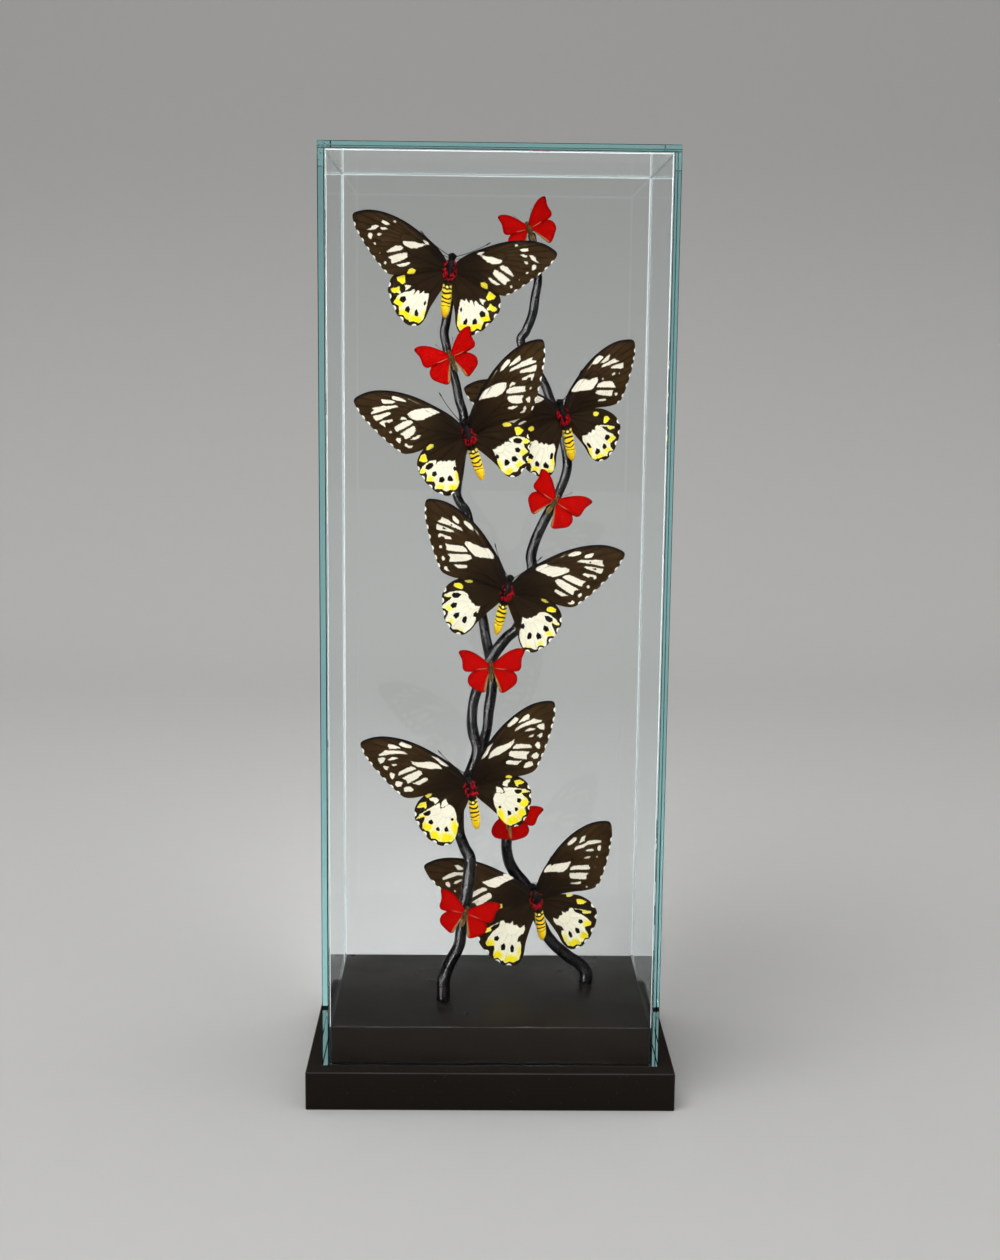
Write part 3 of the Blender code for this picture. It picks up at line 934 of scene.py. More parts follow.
@dataclass
class GlassCase:
    """The five panes, which keep their CAD solids and get the look of float glass."""

    panes: tuple[str, ...] = ("glass_front", "glass_back", "glass_left", "glass_right", "glass_top")
    finish: GlassFinish = field(default_factory=GlassFinish)
    bead: float = 1.15 * MM  # how far the glue in the inner corners reaches over the panes
    bead_steps: int = 5
    bead_gap: float = 0.05 * MM  # between the glue and the panes

    def build(self) -> None:
        """Dresses the panes, and runs beads of clear glue along their inner corners."""
        clear = self.finish.material("float glass in front", self.finish.mirror)
        glass = self.finish.material("float glass", self.finish.ghost)
        for name in self.panes:
            pane = frame["nodes"][name]
            pane.data.materials.clear()
            pane.data.materials.append(clear if name == "glass_front" else glass)
            LOG.info("%s: CAD pane in %s", name, pane.data.materials[0].name)
        glue = join_pieces("glue_beads", [self.run_bead(*run) for run in self.bead_runs()])
        glue.data.materials.append(GlueFinish().material("clear glue"))
        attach(glue, "root")

    def bead_runs(self) -> Iterable[tuple[np.ndarray, np.ndarray, np.ndarray, np.ndarray]]:
        """Where the beads of glue run.

        Returns:
            Each bead's start, its run, and the two directions in which it lies on the panes.
        """
        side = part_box("glass_right")[0][0] - self.bead_gap
        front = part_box("glass_front")[1][1] + self.bead_gap
        top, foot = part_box("glass_top")[0][2] - self.bead_gap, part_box("plinth")[1][2] + GAP
        x, y, z = np.eye(3)
        for left in (-1, 1):
            for near in (-1, 1):
                corner = np.array((left * side, -near * front, foot))
                yield corner, (top - foot) * z, -left * x, -near * y
            yield np.array((left * side, front, top)), -2 * front * y, -left * x, -z
            yield np.array((-side, -left * front, top)), 2 * side * x, -left * y, -z

    def run_bead(self, start: np.ndarray, run: np.ndarray, first: np.ndarray,
                 second: np.ndarray) -> bpy.types.Object:
        """Draws the end of a bead with a hollow face, and extrudes it.

        Args:
            start: where the bead starts in its corner.
            run: from there to its other end.
            first: the direction in which it lies on one pane.
            second: the direction in which it lies on the other.

        Returns:
            The new object.
        """
        turns = np.linspace(0, pi / 2, self.bead_steps)
        hollow = [start + self.bead * ((1 - sin(turn)) * first + (1 - cos(turn)) * second)
                  for turn in turns]
        mesh = bpy.data.meshes.new("glue bead")
        mesh.from_pydata([start, *hollow], [], [tuple(range(len(hollow) + 1))])
        bead = bpy.data.objects.new("glue bead", mesh)
        bpy.context.scene.collection.objects.link(bead)
        edit_all(bead, partial(bpy.ops.mesh.extrude_region_move,
                               TRANSFORM_OT_translate={"value": run}), turn_outwards)
        return bead


# ---- Vines ----

VINE_ROUTES = {
    "branch_left": (
        (-43.5, -28.5, 70), (-43.5, -28, 81), (-43, -27.5, 92), (-37.5, -26.5, 106.5),
        (-29.5, -26, 121.5), (-27.5, -25, 136), (-22.5, -22, 171.5), (-20.5, -20, 189.5),
        (-20, -18.5, 203.5), (-25.5, -17, 214.5), (-30.5, -16, 231), (-29.5, -14, 257.5),
        (-20.5, -13, 281), (-14, -12, 303.5), (-18, -11, 321), (-19, -10.5, 338.5),
        (-15.5, -9.5, 358), (-2, -8, 389.5), (11.5, -6.5, 408), (21.5, -5, 418),
        (30.5, -2, 442.5), (34.5, 1, 470), (33.5, 3, 482.5), (37, 5, 496), (45, 7, 514.5),
        (56, 10, 535), (64, 13, 555), (65.5, 14.5, 571.5), (59, 16, 601), (50, 16, 623),
        (42, 17, 641.5), (22.5, 16, 673.5), (26.5, 15, 685), (32, 14, 698.5),
        (34.5, 12.5, 716), (36.5, 11.5, 733.5), (32, 10.5, 760.5), (30, 10, 772),
    ),
    "branch_right": (
        (92, 19, 70), (92.5, 20, 79), (86.5, 21.5, 87), (75, 23, 94.5), (60.5, 24.5, 107),
        (52, 26, 118.5), (44, 27, 137.5), (38, 28, 155), (32, 27.5, 165), (24, 27, 175),
        (17.5, 26, 187), (14.5, 25, 202), (15, 24, 217), (11, 21.5, 236.5), (8, 18, 259),
        (0, 14, 283), (-7.5, 10.5, 304), (-5, 8, 320.5), (-3.5, 6.5, 339), (-1, 5, 357.5),
        (0, 4.5, 371.5), (-2.5, 4.5, 388.5), (-6, 3.5, 402.5), (-9.5, 2, 421.5),
        (-13.5, 0.5, 442), (-15.5, -1, 460.5), (-20.5, -3, 491), (-25, -6, 521.5),
        (-31.5, -7, 532), (-34.5, -7.5, 543), (-31, -8, 570), (-28.5, -8, 605.5),
        (-33, -8.5, 624), (-36.5, -9, 640), (-41.5, -10, 657), (-44.5, -10, 670.5),
        (-46.5, -9, 682), (-44, -7, 697), (-41.5, -5, 719.5), (-40, -5, 733.5), (-40, -5, 744),
    ),
}


@dataclass
class Vine:
    """One lacquered stem, ridged along its length, that stands on the plinth."""

    node: str
    foot_radius: float = 5.9 * MM
    tip_radius: float = 3.7 * MM
    ridge: float = 0.06
    groove: float = 0.03
    lump: float = 0.02
    twist: float = 9.0  # turns of the ridges for each metre
    steps: int = 6
    sides: int = 36
    finish: VineFinish = field(default_factory=VineFinish)

    def route(self) -> tuple[np.ndarray, np.ndarray]:
        """The CAD stem's middle line.

        Returns:
            Its hand-laid points, and its radius at each, in metres.
        """
        points = np.array(VINE_ROUTES[self.node], dtype=float) * MM
        points[0, 2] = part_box(self.node)[0][2]
        travelled = np.concatenate([[0], np.linalg.norm(np.diff(points, axis=0), axis=1).cumsum()])
        share = travelled / travelled[-1]
        return points, self.foot_radius + (self.tip_radius - self.foot_radius) * share

    def build(self) -> None:
        """Builds the stem with its main ridges, finer grooves and a rounded tip."""
        points, radii = self.route()
        curve = spline(points, self.steps)
        size = np.interp(np.linspace(0, len(radii) - 1, len(curve)), np.arange(len(radii)), radii)
        left = np.linalg.norm(curve - curve[-1], axis=1)
        ending = np.clip(left / size[-1], 0, 1)
        size = size * np.sqrt(np.clip(1 - (1 - ending) ** 2, 0.02, 1))

        def ridges(turn: np.ndarray, travelled: np.ndarray) -> np.ndarray:
            """Shapes the bark.

            Args:
                turn: round the stem, in radians.
                travelled: the way along it, in metres.

            Returns:
                The shares by which the radius grows.
            """
            wound = turn + pi * self.twist * travelled
            waver = 0.4 * np.sin(95 * travelled) + 0.3 * np.sin(233 * travelled + 1)
            return (self.ridge * np.cos(2 * wound) + self.groove * np.cos(5 * wound + 2 * waver)
                    + 0.5 * self.groove * np.cos(9 * turn + 3 * waver)
                    + self.lump * np.sin(150 * travelled + 2 * turn))

        piece = lay_tube(f"{self.node}_stem", curve, size, self.sides, ridges, upright_foot=True)
        hand_over(piece, self.finish.material(f"{self.node} lacquer"), "vine_bark", self.node)

    def nearest(self, point: np.ndarray) -> tuple[np.ndarray, float]:
        """Finds the closest place on the stem's middle line.

        Args:
            point: in metres.

        Returns:
            The place, and the stem's radius there.
        """
        points, radii = self.route()
        start, run = points[:-1], np.diff(points, axis=0)
        share = np.clip(((point - start) * run).sum(1) / (run ** 2).sum(1), 0, 1)
        places = start + share[:, None] * run
        best = int(np.linalg.norm(places - point, axis=1).argmin())
        return places[best], float(max(radii[best], radii[best + 1]))


# ---- Wing shapes and marks ----

class Rule(Enum):
    """Which way a wing's grid runs from its root to its far end."""

    ALONG = 0
    AHEAD = 1


@dataclass(frozen=True)
class WingShape:
    """One kind of wing, in shares of its length along its axis and ahead of it."""

    outline: tuple[Span, ...]
    rule: Rule
    veins: tuple[str, ...]
    bays: float  # how deep the bays of its edge are, in shares of its length
    dash: Span  # half the width and the depth of the pale dashes in the bays, in the same shares
    columns: int
    rows: int
    dome: float  # millimetres that its middle stands proud

    def edges(self, share: np.ndarray, breadth: float) -> tuple[np.ndarray, np.ndarray]:
        """The two edges of the wing.

        Args:
            share: from the root, 0, to the far end, 1.
            breadth: stretches the wing across its axis.

        Returns:
            The points of the front edge and of the hind edge at each share.
        """
        points = np.array(self.outline)
        if self.rule is Rule.AHEAD:
            points = np.vstack([points, points[:1]])
        axis = self.rule.value
        sign = 1 if self.rule is Rule.ALONG else -1
        curve = spline(points, 10)
        far = int((sign * curve[:, axis]).argmax())
        chains = (curve[:far + 1], curve[far:][::-1])
        reach = 1 - (1 - share) ** 1.6  # rows lie closer where the wing rounds off
        sides = []
        for chain in chains:
            travel = np.maximum.accumulate(sign * chain[:, axis])
            at = travel[0] + (travel[-1] - travel[0]) * reach
            other = np.interp(at, travel, chain[:, 1 - axis])
            pair = (sign * at, other) if self.rule is Rule.ALONG else (other, sign * at)
            sides.append(np.column_stack(pair) * (1, breadth))
        return sides[0], sides[1]


BIRDWING_FOREWING = WingShape(
    outline=(
        (0.01, 0.02), (0.121, 0.088), (0.247, 0.131), (0.46, 0.168), (0.606, 0.174), (0.743, 0.158),
        (0.862, 0.121), (0.948, 0.066), (1.0, 0.0), (0.953, -0.067), (0.881, -0.124),
        (0.731, -0.209), (0.603, -0.268), (0.492, -0.307), (0.42, -0.29), (0.35, -0.245),
        (0.28, -0.188), (0.15, -0.102), (0.01, -0.03)),
    rule=Rule.ALONG,
    veins=("1,1 20,7.5 40,12.5 60,16.8", "1,0 20,5 36,8.5 50,8.3 53,4 50,0 44,-3.3 37,-5.5 25,-4 1,-1",
           "38,9 58,12 78,14", "46,9 68,9.8 90,9.5", "52,7 74,5.2 97,3", "53,4 75,0.5 97,-4",
           "52,1.5 70,-3.5 91.5,-9.6", "49,-1 66,-8 85,-13.7", "45,-3 60,-10.5 77.3,-17.6",
           "38,-5.2 54,-15 69.5,-22", "32,-4.6 47,-17 61.5,-26.3", "22,-3.6 38,-17 54.5,-29.9",
           "1,-2 14,-6.5 26,-13 36,-23.5"),
    bays=0.002, dash=(0.02, 0.012), columns=118, rows=52, dome=1.6)

BIRDWING_HINDWING = WingShape(
    outline=(
        (0.03, 0.04), (0.11, 0.19), (0.225, 0.32), (0.33, 0.37), (0.42, 0.377), (0.49, 0.355),
        (0.543, 0.308), (0.596, 0.225), (0.64, 0.127), (0.655, 0.03), (0.64, -0.048),
        (0.588, -0.1), (0.5, -0.105), (0.4, -0.08), (0.28, -0.065), (0.15, -0.055), (0.03, -0.03)),
    rule=Rule.ALONG,
    veins=("2,2 12,12 24,22 31,27.5 37,33 41,37", "2,2 14,8 26,14 33,15 38,10 36,4 26,1 2,0",
           "31,15.5 38,24 51.5,33.5", "36,13 45,21.5 58.5,24", "38,10 50,11.8 63,13",
           "37.5,6.5 50,4.5 65,1.5", "35,3.5 47,-2 61.5,-8.5", "26,0.8 40,-4.5 52,-10"),
    bays=0.011, dash=(0.024, 0.0155), columns=80, rows=60, dome=1.0)

RED_FOREWING = WingShape(
    outline=(
        (0.01, 0.03), (0.2, 0.103), (0.37, 0.14), (0.6, 0.168), (0.8, 0.15), (0.95, 0.082),
        (1.0, 0.0), (0.925, -0.078), (0.83, -0.153), (0.76, -0.255), (0.7, -0.357),
        (0.6, -0.405), (0.47, -0.36), (0.3, -0.255), (0.01, -0.03)),
    rule=Rule.ALONG,
    veins=("1,1 20,7 45,12.5 70,14", "1,0 22,2 40,3.5 44,0 38,-5 22,-5 1,-2", "44,2 70,4 95,5",
           "43,-1 70,-3 94,-7", "41,-3 64,-8.5 86,-15", "37,-5 56,-15 77,-25",
           "30,-5.2 48,-19 67,-36", "20,-5 38,-21 55,-38"),
    bays=0.0, dash=(0.0, 0.0), columns=42, rows=24, dome=0.6)

RED_HINDWING = WingShape(
    outline=(
        (0.02, 0.02), (0.3, -0.12), (0.44, -0.29), (0.49, -0.43), (0.485, -0.54), (0.42, -0.645),
        (0.31, -0.705), (0.04, -0.745), (-0.055, -0.73), (-0.1, -0.665), (-0.08, -0.52), (0.0, -0.12)),
    rule=Rule.AHEAD,
    veins=("1,0 20,-12 34,-26 46,-38", "1,0 10,-14 16,-28 12,-34 4,-30 1,0", "16,-28 30,-40 46,-58",
           "15,-31 24,-48 36,-67", "13,-33 16,-52 20,-72", "6,-31 4,-52 3,-73"),
    bays=0.0, dash=(0.0, 0.0), columns=34, rows=28, dome=0.4)


@dataclass(frozen=True)
class WingMarks:
    """What is painted on one wing: outlines in hundredths of its length, with ; between them."""

    cream: str = ""
    yellow: str = ""
    dark: str = ""
    fringe: str = ""  # the middles of the pale dashes in the bays of its edge
    pale: str = ""


FORE_MARKS = {
    "birdwing_1": WingMarks(
        cream="""
29.5,8.5 34,7.5 37,6.2 42,5 44,3.5 48,2 50,0 46,-1.3 40,-.8 36,1.5 33,4.5 31,7;
27,9.7 29,11.2 34,11 32,9.8 30,9;
46,-4.3 49,-3.6 53,-5.5 55.5,-9 58,-13.8 56.5,-14.3 51.5,-10.5 47.5,-7;
40.8,-5.8 43,-6.8 48,-11 52,-15 54.5,-18 51,-18.2 49,-21.3 46,-18.5 42,-13.8 39.3,-9.5;
34,-12.5 36,-12.8 40,-16 44.5,-20.3 41,-20.3 38,-18.2 35.5,-15.3;
61.5,12.8 64,13.8 66.5,12.8 64,11.8;
66,8.2 69.5,9.1 74.3,8.7 74,6.3 71,6 68,7;
65.5,4 69,4 72.5,2 72,.4 69,1.6;
74.5,2 78,1.3 80,-.8 80,-2.8 82.7,-6.3 79,-4.2 76.3,-2;
68.7,-2.7 71.8,-3 72.7,-5 71.8,-6 70,-5;
76.8,-6.3 79.7,-7.8 79.5,-9.7 77.2,-11.8 75,-11 75.8,-8.5;
70.5,-13.3,1.1;
62.5,-18.5,.8;
54.3,-23.6,1.1;
65.5,-8,.5""",
        fringe="95,-7.5 88.7,-11.7 81.5,-15.3 73.5,-19.4 65,-23.7 58,-28.3 50.7,-31"),
    "birdwing_2": WingMarks(
        cream="""
28.5,10.8 32,11.6 36.5,12.3 40,11 44.5,9.2 49,7 52,4.5 54.3,1.6 52,0 49,-.9 45,-.9 41,.3 37.5,3.7 33.5,7
31,9.3;
53.3,-2.2 55.5,-1.2 57.8,-2 59.2,-4.3 57,-4.4 54.7,-3.2;
47.5,-3.5 49.5,-2.3 52.5,-3.4 56,-6 61.8,-12 60,-13.2 58.7,-15.2 55,-12 51.5,-8.5 48.8,-5.6;
43.6,-9 44.7,-6.7 46.5,-6.3 50,-10 55.3,-16.2 51.8,-16.3 49.7,-19 47,-16.5 44.3,-12.7;
38,-12 40,-12.3 43,-15 46,-18.2 42.5,-17 39.8,-15.5;
57.7,11.4 61,12.8 66,13.2 70,12.7 70.3,10.5 69,9.5 64.5,9.8 60,10.6;
44,12.7 50,13.4 57,14 50,12.9;
65.7,8 68,8.8 73,8.2 78.3,7 77.5,5.5 75.8,4 71.5,5.5 68,7;
62.8,5.3 65.5,5.6 70.5,3.8 75.5,2 80.5,-.5 84,-2.5 81.3,-3.1 83.5,-6.5 82.5,-7.1 78.5,-4.7 73,-.8 68,2.2
64.5,4.2;
67,-1.8 69,-1.1 72.5,-3.2 77,-6 81.3,-8.4 79.5,-10 77.3,-11.2 75.5,-10.3 72,-7 69.3,-4.3;
63.5,-6.7 65.5,-6.1 69,-8 72.5,-10 74.3,-11.7 73,-13 70.5,-13.3 68.7,-14.3 68.7,-12.8 70.3,-11.2
68.8,-9.5 66.5,-9.8 64.5,-8.2;
61.4,-16.8 63.2,-15.6 65,-16.8 63.2,-18;
53.5,-19 57,-20 57,-21.5 53.3,-23.5 52.7,-21.5;
42,-22 44,-23 46,-23 47.5,-21.8 49,-22.5 48,-24.3 45,-25 42.5,-24""",
        fringe="94.5,-7 88,-11 82.5,-14.5 74.5,-18.7 67,-23.2 59.5,-27 52,-29.7"),
    "birdwing_3": WingMarks(
        cream="""
22.5,10 24,10.8 28,11.5 33,12 37,11.5 39.5,9.5 41,7.5 42,5 45,4 48,2.5 50,1 49,-.5 47,-2 43,-2.3 40,-3.2
37,-2.5 34,-.5 31,2.5 27,5.5 24,7.5;
52.5,-4,.9;
42.5,-4.7 46,-4.2 49,-5 52,-7 55,-9.5 57,-12 56.5,-14.5 55,-18.5 52.5,-16 49,-12 45,-8;
37.5,-8.5 38.5,-7.5 40.5,-7.3 43,-10 46,-13.5 51.5,-19 48.5,-20 46.5,-22 44.5,-19.5 41,-15 38.5,-11;
33.5,-15 35.5,-14.8 38,-16.8 41,-20.2 39,-20.3 36.5,-18.5 34.5,-16.5;
55.5,13.5 58,14.5 63,15 67,14.5 67.5,12.5 68.5,10 65,10 60,10 57,12;
48,13.5 52,14 56,14.2 52,13.4;
61.5,8.5 65,8.5 70,8.5 75,8 71,5.5 69.5,4.7 66,6 63,7.3;
59.5,5.3 63,5.3 67,4 71,3 75,1 74.5,-1 76.5,-3.7 74.5,-3 70,-.5 65,1.7 61,3.7;
64.5,-1.5 67,-1.7 71,-3.5 75,-5.7 77.5,-7.5 75.5,-9.5 74,-11 71.5,-9.5 68,-5.5;
61,-7 64,-7 66.5,-8.5 63.5,-9.7 61.5,-8.7;
50.7,-23.5,1.4;
67.5,-12,.6""",
        fringe="92,-5.5 87,-10.5 81,-14.5 72,-19 63.5,-23.5 54.5,-29.5 47,-31.5"),
    "birdwing_4": WingMarks(
        cream="""
27.5,9 29.5,10.8 33,11.3 37.5,11 38,9.7 41,7.7 45,6.2 48,4.3 51,3.5 53.8,1.3 52.7,-.6 47,-1 39.5,-.8
36.3,1.2 33,4.3 29.5,7.3;
46.3,-3 49.5,-2.4 52.5,-3.2 56,-6.2 60,-9.8 63.5,-12 60.7,-13 59,-15 55.5,-12.5 51,-8.3 48.5,-5.6;
39.9,-4 42.3,-3.3 44.8,-4.6 50,-10.3 56.2,-16.8 52.3,-16.2 50,-19.5 46.8,-16 43.2,-11.3 40.4,-7.3;
36.5,-11.7 38.3,-11 40.5,-12.8 43,-15.5 46.4,-18.8 43,-18 40.8,-17.5 38,-14.3;
55.3,11.8 58,13 62,13.5 66.5,12.5 67,10.7 65,9.8 60,10.2;
49,12.5 52,13.3 56,13.5 52,12.7;
67.8,6.9 70,8.3 74,8.4 76.7,7.4 74.8,6 74,5 70.5,5.5;
61.5,5.2 65,5.5 70.5,3.8 76,2.2 81.3,0 80.5,-2.5 81.5,-5 79,-4.2 74.5,-1.2 69,1.5 64.8,3.4;
65,-.6 67.3,-.5 71.5,-2.4 76,-4.6 80,-6.8 77.8,-9.7 76.3,-9.8 73,-7 68.5,-3.6;
62,-5.8 64.5,-5.4 68.5,-7.6 72.8,-10.3 72.3,-12 71,-12.9 69.7,-11.8 70.3,-10.6 68,-9.3 66.3,-9.9 64.2,-8;
63.8,-16.8,1.4;
53.7,-20.2 56.8,-20 57,-22 54,-23;
43.2,-24.1 46.5,-24.7 48,-23.5 49.6,-25.2 48.3,-26.7 45.3,-26""",
        dark="""
71.5,1.5,.6;
71.5,-3.8 74.5,-4.5 74.7,-6.2 72.5,-5""",
        fringe="95.5,-6 90.2,-10.5 83.7,-14.5 76.2,-18.5 68.2,-23.2 61,-27.7 54,-29.9"),
    "birdwing_5": WingMarks(
        cream="""
28,4.8 29.5,6 32,7.2 36,7.2 40,6.9 44,5 48,3 52,2 55.5,1.2 53,0 48,-.8 43,-.2 38,1.2 33,3.2;
23.5,8.8 26,9.7 30,10.8 35,12.3 41,12 37,11 33,9.5 30,8.3 26,8.2;
48.5,-3 50,-2.3 53,-2.5 56,-5 58.5,-8 61,-10.5 60.3,-13.8 58,-12 55,-9 51,-5.5;
42,-5 43.5,-3.5 46,-3.5 49,-6.5 53,-10.5 56.5,-15 52.5,-14.5 50,-17.3 47,-13.5 44,-9.5;
35.5,-8 37,-6.5 39,-7.5 42,-11.5 46.5,-15.7 43.5,-15 41,-15.3 38.5,-12;
58.5,12 60,13.5 64,13.6 69,13.7 70,11.5 69,10.2 65,10.3 61,11;
66.5,8.5 69,9 74,9 78.5,8 78,6.3 76,4.5 72,6.3 69,7.5;
60.3,6 63,7 68,5.7 73,4.2 79,1.8 80.5,-1 82.7,-3.8 81,-4 77,-1.5 72,1.5 66,4;
65.5,0 68,0 71,-1 72.5,-3 74.5,-5 72,-4.5 69,-2.5;
75.5,-4 78,-4 81.8,-6.5 80.5,-8.5 78,-10 76.5,-8.5;
64,-5.2 66.5,-5.5 70.5,-7 67.5,-8 66,-7.3;
70,-9.7 74.5,-10.3 75,-11.5 73,-13.5 70.5,-13 70.8,-11.5;
63.5,-13.5 67,-13.7 68,-14.8 66,-17.5 63.5,-18.7 62.5,-17;
54,-18 57,-18 60,-18.8 59.5,-22 57,-23 54.5,-21.5;
43,-20 47,-19 50,-20 51.5,-22 50,-24.7 47,-23.5 44.5,-22.3""",
        fringe="96.5,-6 90,-10 85,-13 76.5,-17 69,-21 62,-25.3 54.5,-27.8"),
    "birdwing_6": WingMarks(
        cream="""
24.1,11.6 25.6,12.8 29.5,13.4 33.9,12.9 33.3,11 36.2,9.9 39,8 41.8,5.9 44.6,3.6 47.5,2 48.9,1 47.4,.1
43.5,-.7 39.6,-.8 36.7,-.4 33.9,2.1 31.2,5.6 27.4,9.1;
42.4,-4 44.4,-2.7 46.8,-3.2 50.1,-5.8 53.8,-9.3 57.5,-12.8 56.5,-14.7 55.9,-16.4 53.6,-15.1 49.9,-11.1
45.7,-6.6;
37.4,-8.2 38.4,-6.3 40.4,-5.7 43.2,-8.4 46.9,-12.4 52,-18.4 48.6,-17.8 46.1,-20.6 42.9,-17.1 39.2,-12.1
37.3,-9.7;
32.4,-12.4 34.3,-12.9 37.1,-15.4 41.4,-18.5 38.9,-19.6 36.1,-16.9 33.8,-14.4;
57.6,13.3 59.5,14.4 64.4,14.4 67.7,14.1 68.6,11.9 67.1,10.7 63.3,10.8 59.4,12;
67,7.1 69.9,8.4 72.9,9.1 76.2,7.7 73.7,6.6 71.7,5 69.4,6;
59.2,5.9 61.7,7.1 65,5.7 68.8,3.6 73.6,2.5 77.4,-.1 79.7,-2.6 82,-5.6 81,-7 77.2,-4.4 73.4,-1.4 70.1,1
65.8,1.8 62,4.2;
64.3,-1 66.7,-1.6 70.9,-4.7 72.2,-7.6 69.4,-7 66.6,-3.5;
74.6,-8.2 76.1,-7.3 78.5,-8.3 77.4,-10.2 75,-11.6 73.1,-10.5;
58.8,-5.4 61.7,-5.8 65.4,-8.4 63.4,-9.5 60.6,-7.4;
68.4,-13.3,.8;
60.2,-18.6,.6;
40.6,-25.7,1""",
        fringe="88.5,-11.6 82.1,-15.2 73.2,-19.7 64.3,-24.7 56.4,-29.2 48.1,-31.8"),
}

